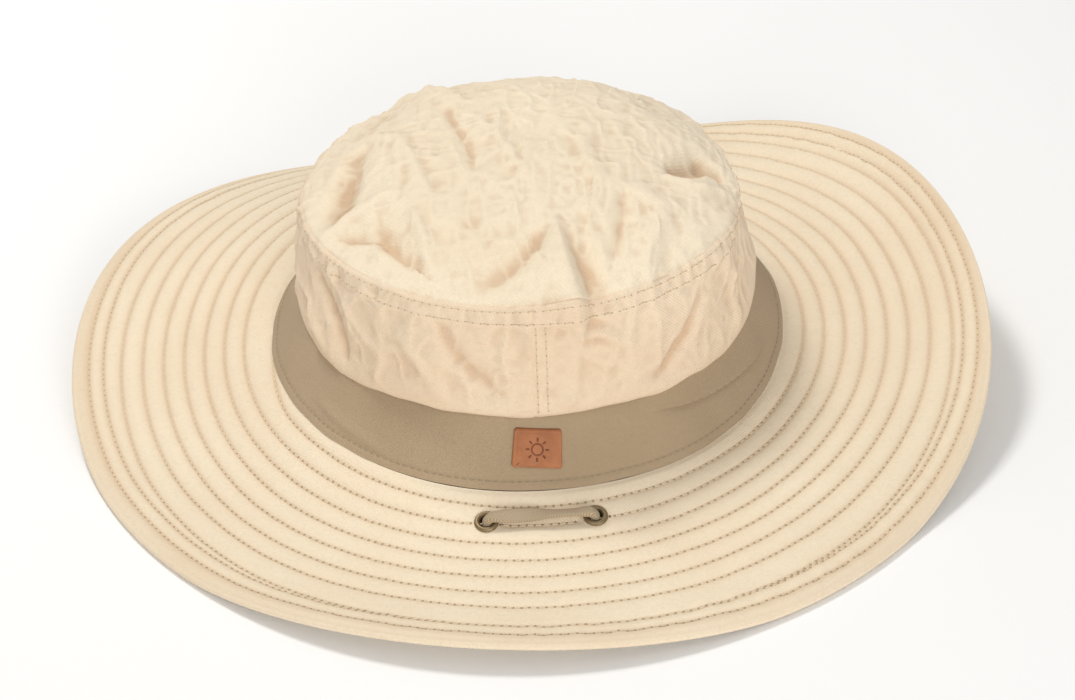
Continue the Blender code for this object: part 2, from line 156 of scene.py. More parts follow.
# Colours, and the spacing of the weaves' threads
CREAM, CREAM_BLOTCH = (0.9, 0.775, 0.585), (0.86, 0.72, 0.53)
# The crown's sides take a darker, pinker cream than the tip: painted shade, for the weaker light on their
# upright cloth
SHADED_SIDE_CREAM, SHADED_SIDE_CREAM_BLOTCH = (0.87, 0.71, 0.525), (0.81, 0.635, 0.455)
KHAKI, KHAKI_BLOTCH = (0.475, 0.352, 0.225), (0.42, 0.308, 0.19)
TAPE, TAPE_BLOTCH = (0.75, 0.72, 0.65), (0.68, 0.65, 0.58)
CREAM_THREAD, KHAKI_THREAD, HOLE_SHADE = (0.84, 0.7, 0.5), (0.4, 0.31, 0.19), (0.56, 0.42, 0.255)
LACE_LIGHT, LACE_DARK, LACE_GROOVE_SHADE = (0.58, 0.46, 0.31), (0.48, 0.375, 0.245), (0.34, 0.26, 0.16)
LEATHER, BURNT = (0.52, 0.19, 0.072), (0.27, 0.08, 0.025)
PATINA_LIGHT, PATINA_DARK, RUBBED_BRASS = (0.27, 0.2, 0.115), (0.15, 0.105, 0.06), (0.55, 0.44, 0.27)
FELT, FELT_FIBRE = (0.85, 0.83, 0.78), (0.7, 0.68, 0.62)
CREAM_WEAVE = 0.6 * MM
KHAKI_WEAVE = 0.4 * MM
TAPE_WEAVE = 0.3 * MM


# Small tools


def smooth(x):
    """A soft step from 0 at 0 to 1 at 1."""
    x = np.clip(x, 0.0, 1.0)
    return x * x * (3 - 2 * x)


def unit(v):
    """Vectors of length 1."""
    return v / np.maximum(np.linalg.norm(v, axis=-1, keepdims=True), 1e-12)


def bell(gap, width):
    """1 where the gap is 0, fading to nearly 0 at twice this width on either side."""
    return np.exp(-((gap / width) ** 2))


def noise(points, size, seed):
    """Smooth noise from -1 to 1 at the points, with bumps about this size (one length or three)."""
    q = points / np.asarray(size, float) + 37.7 * (seed + 1)
    cell = np.floor(q).astype(np.int64)
    part = q - cell
    part = part * part * (3 - 2 * part)
    total = np.zeros(points.shape[:-1])
    for corner in range(8):
        step = np.array([corner & 1, corner >> 1 & 1, corner >> 2 & 1])
        # Large primes scramble the cell's place into a number with no pattern
        key = (cell + step) @ np.array([73856093, 19349663, 83492791]) + seed * 2654435
        key = (key ^ (key >> 13)) * 1274126177 & 0xFFFFFFFF
        key = (key ^ (key >> 16)) * 2246822519 & 0xFFFFFFFF
        weight = np.prod(np.where(step, part, 1 - part), axis=-1)
        total += weight * (key / 0x7FFFFFFF - 1)
    return total


def wrapped(angles, outs, radius):
    """Places for noise that closes on itself round the hat: a cylinder, with outs along its axis."""
    return np.stack([radius * np.cos(angles), radius * np.sin(angles), outs + 0 * angles], -1)


def creases(points, size, seed):
    """Noise with sharp narrow ridges between broad hollows, from 0 to 1."""
    bends = np.stack([noise(points, size, seed + k) for k in (5, 6, 7)], -1)
    bent = points + 0.35 * np.min(size) * bends
    return (1 - np.abs(noise(bent, size, seed))) ** 3


def hollows(relief, reach, depth):
    """From 0 on a flat or raised place of a grid of heights to 1 in a hollow about this deep."""
    mean = np.zeros_like(relief)
    for axis in (0, 1):
        last = relief.shape[axis] - 1
        steps = np.arange(last + 1)
        ahead = np.take(relief, np.minimum(steps + reach, last), axis)
        behind = np.take(relief, np.maximum(steps - reach, 0), axis)
        mean += (ahead + behind) / 4
    return smooth((mean - relief) / depth)


def creased(relief):
    """How much painted shade and dirt darken the crumpled cloth: in its narrow creases, and in its wide
    dents.
    """
    return 0.45 * hollows(relief, 4, 0.8 * MM) + 0.5 * hollows(relief, 12, 2.6 * MM)


def mesh_object(name, points, faces, material, body="hat", uv=None, sharp=50, shade=None):
    """A smooth piece. uv has a pair for each corner of each face, shade a value for each point."""
    mesh = bpy.data.meshes.new(name)
    points = np.asarray(points, float).reshape(-1, 3)
    mesh.from_pydata(points.tolist(), [], faces.tolist() if isinstance(faces, np.ndarray) else faces)
    if uv is not None:
        layer = mesh.uv_layers.new(name="UVMap")
        layer.data.foreach_set("uv", np.asarray(uv, np.float32).ravel())
    if shade is not None:
        values = mesh.attributes.new("shade", "FLOAT", "POINT")
        values.data.foreach_set("value", np.asarray(shade, np.float32).ravel())
    mesh.materials.append(material)
    mesh.shade_smooth()
    mesh.set_sharp_from_angle(angle=math.radians(sharp))
    obj = bpy.data.objects.new(name, mesh)
    bpy.context.scene.collection.objects.link(obj)
    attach(obj, body)
    return obj


def panel(name, outer, inner, u, v, material, slot, closed=True, flip=False, shade=None):
    """A piece of cloth between two grids of points (rows, columns, 3), with its edges closed. A closed
    grid runs round the hat, and flip is for one whose columns and rows turn the other way. u and v
    are the weave's lengths at the grid's places."""
    rows, columns = outer.shape[:2]
    spans = columns if closed else columns - 1
    row, column = ring_corners(rows - 1, spans)
    # Row, column and layer of every face's corners: the outer face, the inner one, then the edges
    corners = [(row, column, 0), (row[:, ::-1], column[:, ::-1], 1)]
    ends, layers = np.array([0, 0, 1, 1]), np.array([0, 1, 1, 0])
    along_row = np.arange(spans)[:, None] + ends
    for row, turn in ((0, 1), (rows - 1, -1)):
        corners.append((row, along_row[:, ::turn], layers))
    if not closed:
        along_column = np.arange(rows - 1)[:, None] + ends
        for column, turn in ((0, -1), (columns - 1, 1)):
            corners.append((along_column[:, ::turn], column, layers))
    corners = zip(*(np.broadcast_arrays(*part) for part in corners))
    row, column, layer = (np.concatenate(parts) for parts in corners)
    quads = (layer * rows + row) * columns + column % columns
    uv = np.stack([u[row, column], v[row, column]], -1)
    if flip:
        quads, uv = quads[:, ::-1], uv[:, ::-1]
    points = np.concatenate([outer.reshape(-1, 3), inner.reshape(-1, 3)])
    if shade is not None:
        shade = np.concatenate([shade.ravel(), 0 * shade.ravel()])
    return mesh_object(name, points, quads, material, uv=uv, shade=shade)


def ring_corners(rings, count):
    """Each face's corners between rings of points: their ring and their place in it, counted on."""
    ring, k = np.divmod(np.arange(rings * count), count)
    return np.stack([ring, ring, ring + 1, ring + 1], -1), np.stack([k, k + 1, k + 1, k], -1)


def ring_quads(rings, count, joined=False):
    """Faces between rings of points, count in each. Joined ones run on from the last ring to the first."""
    ring, k = ring_corners(rings if joined else rings - 1, count)
    return ring % rings * count + k % count


def end_caps(rings, count):
    """Faces that close the first ring and the last."""
    return [list(range(count))[::-1], [(rings - 1) * count + k for k in range(count)]]


def round_holes(obj, places, radius, depth, solver):
    """Cuts round holes through a piece, each along the Z axis of its place."""
    pins = bmesh.new()
    for place in places:
        bmesh.ops.create_cone(pins, cap_ends=True, segments=32, radius1=radius, radius2=radius,
                              depth=depth, matrix=place)
    mesh = bpy.data.meshes.new("pins")
    pins.to_mesh(mesh)
    pins.free()
    cutter = bpy.data.objects.new("pins", mesh)
    bpy.context.scene.collection.objects.link(cutter)
    cut = obj.modifiers.new("holes", "BOOLEAN")
    cut.operation = "DIFFERENCE"
    cut.solver = solver
    cut.object = cutter
    bpy.context.view_layer.update()
    evaluated = obj.evaluated_get(bpy.context.evaluated_depsgraph_get())
    made = bpy.data.meshes.new_from_object(evaluated)
    obj.modifiers.clear()
    uncut = obj.data
    obj.data = made
    bpy.data.meshes.remove(uncut)
    bpy.data.objects.remove(cutter)


# Shape of the hat


def around(heights, angles):
    """A row of heights, smoothed into a few waves round the hat."""
    waves = np.fft.rfft(heights) / len(heights)
    total = waves[0].real + 0 * angles
    for n in range(1, WAVES + 1):
        total = total + 2 * (waves[n].real * np.cos(n * angles) - waves[n].imag * np.sin(n * angles))
    return total * MM


def brim_surface(angles, outs, lifts):
    """Points this far out along the brim's cloth from the head opening, lifted straight up."""
    foot = around(HEAD_HEIGHTS, angles)
    rise = around(EDGE_HEIGHTS, angles) - foot
    sag = around(BRIM_SAGS, angles)
    share = outs / BRIM_WIDTH
    reach = 0.0
    for step in range(REACH_STEPS):
        slope = rise - 4 * sag * (1 - 2 * (step + 0.5) / REACH_STEPS * share)
        reach = reach + np.sqrt(BRIM_WIDTH**2 - slope**2) * share / REACH_STEPS
    height = foot + rise * share - 4 * sag * share * (1 - share)
    height = (height + np.sqrt(height**2 + TOUCH_SOFTNESS**2)) / 2
    across, along = np.cos(angles) / HEAD_HALF_WIDTH, np.sin(angles) / HEAD_HALF_LENGTH
    size = np.hypot(across, along)
    x = HEAD_HALF_WIDTH * np.cos(angles) + across / size * reach
    y = HEAD_HALF_LENGTH * np.sin(angles) + along / size * reach
    return np.stack([x, y, height + lifts], -1)


def radial(angles):
    """Level unit vectors away from the middle."""
    return np.stack([np.cos(angles), np.sin(angles), 0 * angles], -1)


def wall_surface(angles, levels):
    """The wall of the hat: level 0 to 1 up the band, 1 to 2 up the crown's side."""
    turn = radial(angles)
    foot = brim_surface(angles, 0 * angles, BRIM_LIFT + 0.1 * MM)
    head = turn * (CROWN_HALF_WIDTH, CROWN_HALF_LENGTH, 0) + (foot[..., 2:] + BAND_HEIGHT) * UP
    seam_height = TIP_SEAM_HEIGHT - TIP_SEAM_DIP * np.sin(angles)[..., None] ** 2
    seam = turn * (TIP_HALF_WIDTH, TIP_HALF_LENGTH, 0) + seam_height * UP
    t = levels[..., None]
    band = foot + (head - foot) * t
    bulge = SIDE_BULGE * np.sin(math.pi * np.clip(t - 1, 0, 1))
    side = head + (seam - head) * (t - 1) + turn * bulge
    return np.where(t <= 1, band, side)


def tip_surface(angles, shares):
    """The domed tip, from its middle, share 0, to its seam, share 1."""
    seam = wall_surface(angles, 2.0 + 0 * angles)
    middle = np.array([0, CROWN_TOP_SHIFT, CROWN_TOP])
    points = middle + (seam - middle) * shares[..., None]
    points[..., 2] = middle[2] + (seam[..., 2] - middle[2]) * shares**3
    return points


# Camera and light


def photo_camera():
    """The product photograph's view: a metre away, a third of the way up, turned a little."""
    target = Vector((0, 0, 21.5 * MM))
    elevation = math.radians(32.8)
    azimuth = math.radians(-1.1)
    roll = math.radians(2.14)
    level = math.cos(elevation)
    forward = Vector((-math.sin(azimuth) * level, math.cos(azimuth) * level, -math.sin(elevation)))
    data = bpy.data.cameras.new("photo_camera")
    data.lens = 92.2
    data.sensor_width = 36
    data.shift_x = 0.0091
    data.shift_y = -0.0245
    camera = bpy.data.objects.new("photo_camera", data)
    camera.rotation_mode = "QUATERNION"
    camera.rotation_quaternion = Quaternion(forward, roll) @ forward.to_track_quat("-Z", "Y")
    camera.location = target - forward
    bpy.context.scene.collection.objects.link(camera)
    bpy.context.scene.camera = camera


def area_light(name, place, size, power, colour=(1, 1, 1)):
    """A square softbox that points at the hat."""
    data = bpy.data.lights.new(name, "AREA")
    data.shape = "SQUARE"
    data.size = size
    data.energy = power
    data.color = colour
    lamp = bpy.data.objects.new(name, data)
    lamp.location = place
    lamp.rotation_euler = (-Vector(place)).to_track_quat("-Z", "Y").to_euler()
    bpy.context.scene.collection.objects.link(lamp)


def studio():
    """Even white light, a small bright softbox above the back left and a large weak one in front."""
    world = bpy.data.worlds.new("studio")
    world.use_nodes = True
    background = world.node_tree.nodes["Background"]
    background.inputs["Color"].default_value = (1, 0.99, 0.97, 1)
    background.inputs["Strength"].default_value = 0.48
    bpy.context.scene.world = world
    bpy.context.scene.view_settings.view_transform = "Standard"
    area_light("key_softbox", (-0.4, 0.42, 1.2), 0.3, 8.2, (1, 0.985, 0.96))
    area_light("front_softbox", (0.25, -1.5, 0.55), 0.7, 11)
    half = 6.0  # of the floor's width
    corners = [(-half, -half, 0), (half, -half, 0), (half, half, 0), (-half, half, 0)]
    floor = bpy.data.meshes.new("floor")
    floor.from_pydata(corners, [], [(0, 1, 2, 3)])
    floor.materials.append(floor_material())
    obj = bpy.data.objects.new("floor", floor)
    obj.location.z = -0.2 * MM
    bpy.context.scene.collection.objects.link(obj)


# Materials


def shader_tree(name):
    """A new material, its node tree and its shader."""
    material = bpy.data.materials.new(name)
    material.use_nodes = True
    tree = material.node_tree
    return material, tree, tree.nodes["Principled BSDF"]


def place_on(tree, coordinates="Object"):
    """The place on the piece that is shaded, in metres."""
    return add(tree, "ShaderNodeTexCoord").outputs[coordinates]


def set_inputs(tree, node, inputs):
    """Sets inputs to values or other nodes' sockets, by name with _ for a space or by number."""
    for key, value in inputs.items():
        socket = node.inputs[int(key[1:])] if key[0] == "_" else node.inputs[key.replace("_", " ")]
        if isinstance(value, bpy.types.NodeSocket):
            tree.links.new(value, socket)
        else:
            socket.default_value = value


def add(tree, kind, settings=(), **inputs):
    """A new node with these settings and inputs."""
    node = tree.nodes.new(kind)
    for key, value in dict(settings).items():
        setattr(node, key, value)
    set_inputs(tree, node, inputs)
    return node


def finish(tree, shader, tone, relief, strength, depth, **inputs):
    """Gives the shader its colour, its fine relief and its other inputs."""
    bump = add(tree, "ShaderNodeBump", Strength=strength, Distance=depth, Height=relief)
    set_inputs(tree, shader, {"Base_Color": tone, "Normal": bump.outputs[0], **inputs})


def dim(colour, factor=1.0):
    """The colour made darker, or lighter above 1, with its alpha."""
    return (*[min(1.0, c * factor) for c in colour], 1)


def math_node(tree, operation, a, b=0.0):
    """One step of arithmetic on values or sockets."""
    return add(tree, "ShaderNodeMath", {"operation": operation}, _0=a, _1=b).outputs[0]


def mix_colours(tree, share, a, b):
    """From colour a at share 0 to colour b at share 1."""
    node = add(tree, "ShaderNodeMix", {"data_type": "RGBA"}, _0=share, _6=a, _7=b)
    return node.outputs[2]


def tint(tree, tone, share, strength, colour):
    """Mixes a colour into the tone, at most by this strength."""
    return mix_colours(tree, math_node(tree, "MULTIPLY", share, strength), tone, colour)


def ramp(tree, value, low, high):
    """0 where the value is under low, 1 where it is over high."""
    node = add(tree, "ShaderNodeMapRange", {"clamp": True}, Value=value, From_Min=low, From_Max=high)
    return node.outputs[0]


def noise_node(tree, where, scale, detail=3.0):
    """Cloudy noise from 0 to 1, with this many clouds to the metre."""
    return add(tree, "ShaderNodeTexNoise", Vector=where, Scale=scale, Detail=detail).outputs[0]


def weave(tree, where, pitch):
    """Height of a plain weave: over and under, once each way in every two threads."""
    scale = TURN / 20 / (2 * pitch)  # at scale 1, a wave texture's waves lie TURN / 20 apart
    bands = []
    for direction in ("X", "Y"):
        wave = add(tree, "ShaderNodeTexWave", {"bands_direction": direction}, Vector=where, Scale=scale)
        bands.append(math_node(tree, "SUBTRACT", wave.outputs["Fac"], 0.5))
    return math_node(tree, "MULTIPLY", bands[0], bands[1])


def cloth_material(name, colour, shade, pitch, flat):
    """Plain-woven cotton of one colour with blotches of another, shade. A flat cut takes its weave from
    above, and a strip from its own length. Painted shade darkens its sharp hollows, and the piece's
    shade attribute adds painted shade and dirt."""
    material, tree, shader = shader_tree(name)
    solid = place_on(tree)
    where = solid if flat else place_on(tree, "UV")
    threads = weave(tree, where, pitch)
    slubs = noise_node(tree, where, 0.35 / pitch, 2.0)
    blotches = noise_node(tree, solid, 22.0, 4.0)
    fibres = noise_node(tree, solid, 900.0, 2.0)
    # The piece's shade attribute: painted shade and dirt in the crown's creases, painted shade along the
    # brim's rows
    painted_shade_and_dirt = add(tree, "ShaderNodeAttribute", {"attribute_name": "shade"}).outputs["Fac"]
    # Painted shade in sharp hollows, found from the mesh's pointiness
    hollow = ramp(tree, add(tree, "ShaderNodeNewGeometry").outputs["Pointiness"], 0.5, 0.45)
    shade_and_dirt_colour = (shade[0] * 0.74, shade[1] * 0.6, shade[2] * 0.5, 1)
    tone = mix_colours(tree, ramp(tree, blotches, 0.35, 0.72), dim(colour), dim(shade))
    tone = tint(tree, tone, ramp(tree, slubs, 0.5, 0.75), 0.3, dim(shade, 0.86))
    tone = tint(tree, tone, hollow, 0.5, dim(shade, 0.75))
    tone = mix_colours(tree, painted_shade_and_dirt, tone, shade_and_dirt_colour)
    tone = tint(tree, tone, ramp(tree, fibres, 0.45, 0.75), 0.25, dim(colour, 0.82))
    height = math_node(tree, "ADD", math_node(tree, "MULTIPLY", threads, 1.6),
                       math_node(tree, "MULTIPLY", slubs, 0.6))
    finish(tree, shader, tone, height, 0.8, 0.2 * MM, Roughness=0.92, Sheen_Weight=0.12,
           Sheen_Roughness=0.6, Specular_IOR_Level=0.25)
    return material


def thread_material(name, colour):
    """Twisted sewing thread, a little uneven in colour."""
    material, tree, shader = shader_tree(name)
    solid = place_on(tree)
    tone = mix_colours(tree, noise_node(tree, solid, 160.0), dim(colour), dim(colour, 0.8))
    twist = add(tree, "ShaderNodeTexWave", {"bands_direction": "DIAGONAL"}, Vector=solid, Scale=900.0)
    finish(tree, shader, tone, twist.outputs["Fac"], 0.4, 0.05 * MM, Roughness=0.7)
    return material


def lace_material():
    """A flat braid: two sets of slanting strands that meet in the middle of its width, with painted shade
    between them.
    """
    material, tree, shader = shader_tree("khaki_lace")
    split = add(tree, "ShaderNodeSeparateXYZ", Vector=place_on(tree, "UV"))
    inwards = math_node(tree, "MULTIPLY", math_node(tree, "ABSOLUTE", split.outputs["Y"]), 1.1)
    slant = math_node(tree, "ADD", split.outputs["X"], inwards)
    strands = math_node(tree, "SINE", math_node(tree, "MULTIPLY", slant, TURN / LACE_STRAND))
    patches = noise_node(tree, place_on(tree), 60.0)
    tone = mix_colours(tree, ramp(tree, patches, 0.3, 0.7), dim(LACE_LIGHT), dim(LACE_DARK))
    # Painted shade in the grooves between the strands
    tone = mix_colours(tree, ramp(tree, strands, 0.1, -0.9), tone, dim(LACE_GROOVE_SHADE))
    finish(tree, shader, tone, strands, 0.6, 0.15 * MM, Roughness=0.8, Sheen_Weight=0.1)
    return material


def leather_material(name, colour, edge_dark):
    """Tan leather: pebbled grain, a few scuffs, and burnished darker hollows and edges."""
    material, tree, shader = shader_tree(name)
    solid = place_on(tree)
    grain = add(tree, "ShaderNodeTexVoronoi", {"feature": "DISTANCE_TO_EDGE"}, Vector=solid, Scale=1500.0)
    pores = ramp(tree, grain.outputs["Distance"], 0.0, 0.25)
    clouds = noise_node(tree, solid, 140.0)
    scuffs = noise_node(tree, solid, 420.0, 5.0)
    point = add(tree, "ShaderNodeNewGeometry").outputs["Pointiness"]
    burnish = math_node(tree, "ADD", ramp(tree, point, 0.53, 0.6), ramp(tree, point, 0.47, 0.42))
    tone = mix_colours(tree, ramp(tree, clouds, 0.3, 0.7), dim(colour), dim(colour, 0.72))
    tone = tint(tree, tone, ramp(tree, scuffs, 0.6, 0.8), 0.35, dim(colour, 1.5))
    tone = tint(tree, tone, burnish, edge_dark, dim(colour, 0.3))
    finish(tree, shader, tone, pores, 0.5, 0.08 * MM, Roughness=ramp(tree, scuffs, -0.6, 1.2))
    return material


def brass_material():
    """Antique plating: brown patina over brass, worn bright where it is rubbed."""
    material, tree, shader = shader_tree("antique_brass_plating")
    patina = noise_node(tree, place_on(tree), 500.0, 4.0)
    point = add(tree, "ShaderNodeNewGeometry").outputs["Pointiness"]
    rubbed = math_node(tree, "MULTIPLY", ramp(tree, point, 0.5, 0.56), ramp(tree, patina, 0.35, 0.6))
    tone = mix_colours(tree, ramp(tree, patina, 0.35, 0.7), dim(PATINA_LIGHT), dim(PATINA_DARK))
    tone = mix_colours(tree, rubbed, tone, dim(RUBBED_BRASS))
    finish(tree, shader, tone, patina, 0.2, 0.05 * MM, Roughness=ramp(tree, patina, -0.2, 1.1), Metallic=0.9)
    return material


def felt_material():
    """Pale stiff felt of loose fibres."""
    material, tree, shader = shader_tree("interlining_fibres")
    fibres = noise_node(tree, place_on(tree), 700.0, 5.0)
    tone = mix_colours(tree, fibres, dim(FELT), dim(FELT_FIBRE))
    finish(tree, shader, tone, fibres, 0.5, 0.2 * MM, Roughness=0.95)
    return material


def floor_material():
    """White studio paper."""
    material, tree, shader = shader_tree("pale_floor")
    paint = {"Base_Color": (0.97, 0.97, 0.97, 1), "Roughness": 0.9, "Specular_IOR_Level": 0.1}
    set_inputs(tree, shader, paint)
    return material


# Stitches


def lengths_along(path):
    """How far along the path each of its points lies."""
    return np.concatenate([[0], np.cumsum(np.linalg.norm(np.diff(path, axis=0), axis=1))])


def stitch_ends(path):
    """Indices into a finely stepped path, where the needle goes through it."""
    lengths = lengths_along(path)
    return np.searchsorted(lengths, np.arange(STITCH / 2, lengths[-1], STITCH))


def stitch_run(path, normals):
    """Starts, ends and normals of the stitches along a path of points."""
    at = stitch_ends(path)
    return path[at[:-1]], path[at[1:]], unit(normals[at[:-1]] + normals[at[1:]])


def repeated(faces, times, count):
    """The same faces on each of many small pieces with this many points."""
    faces = np.array(faces)
    offsets = (np.arange(times) * count)[:, None, None]
    return (offsets + faces).reshape(-1, faces.shape[-1]).tolist()


def stitches(name, runs, material, radius=THREAD):
    """Each stitch is a short plump thread that dives into the cloth at both ends."""
    starts, ends, normals = (np.concatenate(parts) for parts in zip(*runs))
    along = ends - starts
    side = unit(np.cross(along, normals))
    sides = 6
    tip = 0.06
    # Each ring's place along the stitch, its size, and its height over the cloth, in radii
    rings = ((0.16, 0.75, -0.15), (0.5, 1.0, 0.55), (0.84, 0.75, -0.15))
    points = [starts + along * tip - normals * radius]
    for share, width, lift in rings:
        middle = starts + along * share + normals * radius * lift
        for k in range(sides):
            angle = TURN * k / sides
            points.append(middle + (side * math.cos(angle) + normals * math.sin(angle)) * radius * width)
    points.append(starts + along * (1 - tip) - normals * radius)
    last = 1 + (len(rings) - 1) * sides
    tips = []
    for k in range(sides):
        after = (k + 1) % sides
        tips.append((0, 1 + after, 1 + k))
        tips.append((last + sides, last + k, last + after))
    faces = []
    for kind in (1 + ring_quads(len(rings), sides), tips):
        faces += repeated(kind, len(starts), len(points))
    mesh_object(name, np.stack(points, 1), faces, material, sharp=180)


def needle_holes(name, paths, material, radius, least):
    """Dimples at the ends of the stitches, dark with painted shade. Those at the front stand open, and
    towards the back they shrink to their least share of this radius."""
    centres = np.concatenate([path[stitch_ends(path)] for path, normals in paths])
    normals = unit(np.concatenate([normals[stitch_ends(path)] for path, normals in paths]))
    frontness = -unit(centres * (1, 1, 0))[:, 1:2]
    radii = radius * (least + (1 - least) * smooth((frontness - 0.1) / 0.6))
    side = unit(np.cross(normals, [0.3, 1.0, 0.2]))
    other = np.cross(normals, side)
    sides = 8
    points = [centres + normals * 0.2 * MM]
    for k in range(sides):
        angle = TURN * k / sides
        spoke = side * math.cos(angle) + other * math.sin(angle)
        points.append(centres + spoke * radii + normals * 0.12 * MM)
    points.append(centres - normals * 0.3 * MM)
    tips = []
    for k in range(sides):
        after = (k + 1) % sides
        tips.append((0, 1 + k, 1 + after))
        tips.append((sides + 1, 1 + after, 1 + k))
    faces = repeated(tips, len(centres), len(points))
    mesh_object(name, np.stack(points, 1), faces, material, sharp=180)


# Brim


def hem_row(angles, index):
    """How far out the inner hem row, 0, or the outer one, 1, lies."""
    sway = HEM_ROW_SWAY * np.sin(angles) + HEM_ROW_SHIFT * np.cos(angles)
    return HEM_ROW + sway + HEM_ROW_GAP * index


def spiral_out(turns):
    """How far out the spiral lies after this many turns from its start at the left."""
    out = ROW_FIRST + ROW_PITCH * turns + ROW_DRIFT * (turns / 7) ** 3
    meeting = smooth(1 - np.abs(turns - SPIRAL_MEETS) / 0.25) + smooth((turns - SPIRAL_TURNS + 0.2) / 0.2)
    out = out - ROW_FIRST * (1 - smooth(turns / 0.08))
    return out + (hem_row(SPIRAL_START + TURN * turns, 0) - out) * meeting


def row_distance(angles, outs):
    """Distance to the nearest row of stitches, and to the nearest of the two hem rows."""
    hem = np.minimum(np.abs(outs - hem_row(angles, 0)), np.abs(outs - hem_row(angles, 1)))
    nearest = hem
    for turn in range(math.ceil(SPIRAL_TURNS)):
        turns = np.mod(angles - SPIRAL_START, TURN) / TURN + turn
        nearest = np.minimum(nearest, np.abs(outs - spiral_out(turns)))
    return nearest, hem


def eyelet_angle(side, hand):
    """The direction of an eyelet."""
    return math.atan2(side * (HEAD_HALF_LENGTH + EYELET_OUT), hand * EYELET_SPACING / 2)


def quilt(angles, outs):
    """Rise of the brim's top cloth over its flat face: padded between rows, drawn in at them."""
    nearest, hem = row_distance(angles, outs)
    place = wrapped(angles, outs, BRIM_MIDDLE)
    drawn = 0.22 * MM + 0.3 * MM * np.abs(np.cos(angles)) ** 1.5
    puckered = 0.35 + 0.65 * smooth((np.cos(angles + 0.45) + 0.1) / 0.8)
    rise = 0.45 * MM * (1 - bell(nearest, 2.1 * MM)) - drawn * bell(nearest, 0.85 * MM)
    rise = rise + 0.35 * MM * smooth((outs - hem_row(angles, 1) - 0.6 * MM) / (1.5 * MM))
    # Puckers along the rows, stronger ones along the hem, and broad waves and creases of the cloth
    rise = rise + 0.14 * MM * bell(nearest, 1.6 * MM) * noise(place, (2.4 * MM, 2.4 * MM, 5 * MM), 3)
    rise = rise + 0.42 * MM * bell(hem, 2.6 * MM) * puckered * noise(place, (2.8 * MM, 2.8 * MM, 7 * MM), 4)
    rise = rise + 0.4 * MM * noise(place, (26 * MM, 26 * MM, 18 * MM), 5)
    rise = rise + 0.1 * MM * creases(place, (9 * MM, 9 * MM, 20 * MM), 6)
    flat = np.ones_like(rise)
    for side, hand in EYELETS:
        turned_by = np.mod(angles - eyelet_angle(side, hand) + math.pi, TURN) - math.pi
        reach = np.hypot(turned_by * (HEAD_HALF_LENGTH + EYELET_OUT), outs - EYELET_OUT)
        flat = flat * smooth((reach - FLANGE_RADIUS) / (2.5 * MM))
    edge = smooth((outs - 0.3 * MM) / (2.5 * MM)) * smooth((BRIM_WIDTH - 1.2 * MM - outs) / (3 * MM))
    return rise * flat * edge


def brim_angles():
    """The directions of the brim's columns, from the far side on."""
    return np.pi / 2 + TURN * np.arange(BRIM_COLUMNS) / BRIM_COLUMNS


def brim_grid(section):
    """Points of a section taken round the brim. A place of it is (out, lift, share of the quilting)."""
    outs, lifts, shares = (values[:, None] for values in np.array(section).T)
    angles = brim_angles() + 0 * outs
    outs = outs + 0 * angles
    points = brim_surface(angles, outs, lifts + shares * quilt(angles, outs))
    points[..., 2] = np.maximum(points[..., 2], CLOTH_CLEARANCE)
    return points


def brim_piece(name, outer, inner, material, replaced, **looks):
    """A layer of the brim's cloth between two sections, with its eyelet holes."""
    u, v = np.meshgrid(np.linspace(0, TURN * BRIM_MIDDLE, BRIM_COLUMNS + 1),
                       np.linspace(0, BRIM_WIDTH, len(outer)))
    obj = panel(name, brim_grid(outer), brim_grid(inner), u, v, material, "cream_cloth", **looks)
    places = [eyelet_frame(side, hand) for side, hand in EYELETS]
    round_holes(obj, places, HOLE_RADIUS, 16 * MM, "MANIFOLD")
    obj.data.shade_smooth()
    obj.data.set_sharp_from_angle(angle=math.radians(50))
    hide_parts(replaced)


def row_shade(section):
    """How much painted shade darkens the cloth at the rows: most at the two sides, where they are drawn in
    deepest. The hem's outer roll is darkened too.
    """
    angles = brim_angles()[None]
    outs = np.array(section)[:, :1]
    nearest = row_distance(angles, outs)[0]
    sides = np.abs(np.cos(angles)) * smooth((0.75 - np.sin(angles)) / 0.5)
    # Painted shade: a dark line in each row's groove, and a soft band either side of it
    line = (0.16 + 0.26 * sides) * bell(nearest, 0.75 * MM)
    soft = (0.05 + 0.13 * sides) * bell(nearest, 2.4 * MM)
    outer_roll = 0.2 * smooth((outs - hem_row(angles, 1)) / (2 * MM))
    return line + soft + outer_roll


def brim_top(material):
    """The top cloth, quilted, and turned under round the edge of the brim."""
    last = BRIM_WIDTH - 1.5 * MM
    outs = np.arange(0.1 * MM, last, 0.42 * MM)
    outer = [(out, BRIM_LIFT, 1.0) for out in outs]
    inner = [(out, 2.2 * MM, 0.0) for out in outs]
    turn_height = 1.6 * MM
    for angle in np.linspace(0, math.pi, 13):
        out, up = math.sin(angle), math.cos(angle)
        outer.append((last + 1.45 * MM * out, turn_height + 1.4 * MM * up, 0.0))
        inner.append((last + 0.7 * MM * out - 0.2 * MM, turn_height + 0.6 * MM * up, 0.0))
    brim_piece("quilted_brim_top", outer, inner, material, "brim_top", flip=True, shade=row_shade(outer))


def brim_under(material):
    """The under cloth, quilted downwards by the same rows."""
    outs = np.arange(0.6 * MM, BRIM_WIDTH - 3.2 * MM, 0.6 * MM)
    below = [(out, UNDER_LIFT, UNDER_QUILTING) for out in outs]
    above = [(out, 1.0 * MM, 0.0) for out in outs]
    brim_piece("quilted_brim_underside", below, above, material, "brim_underside")


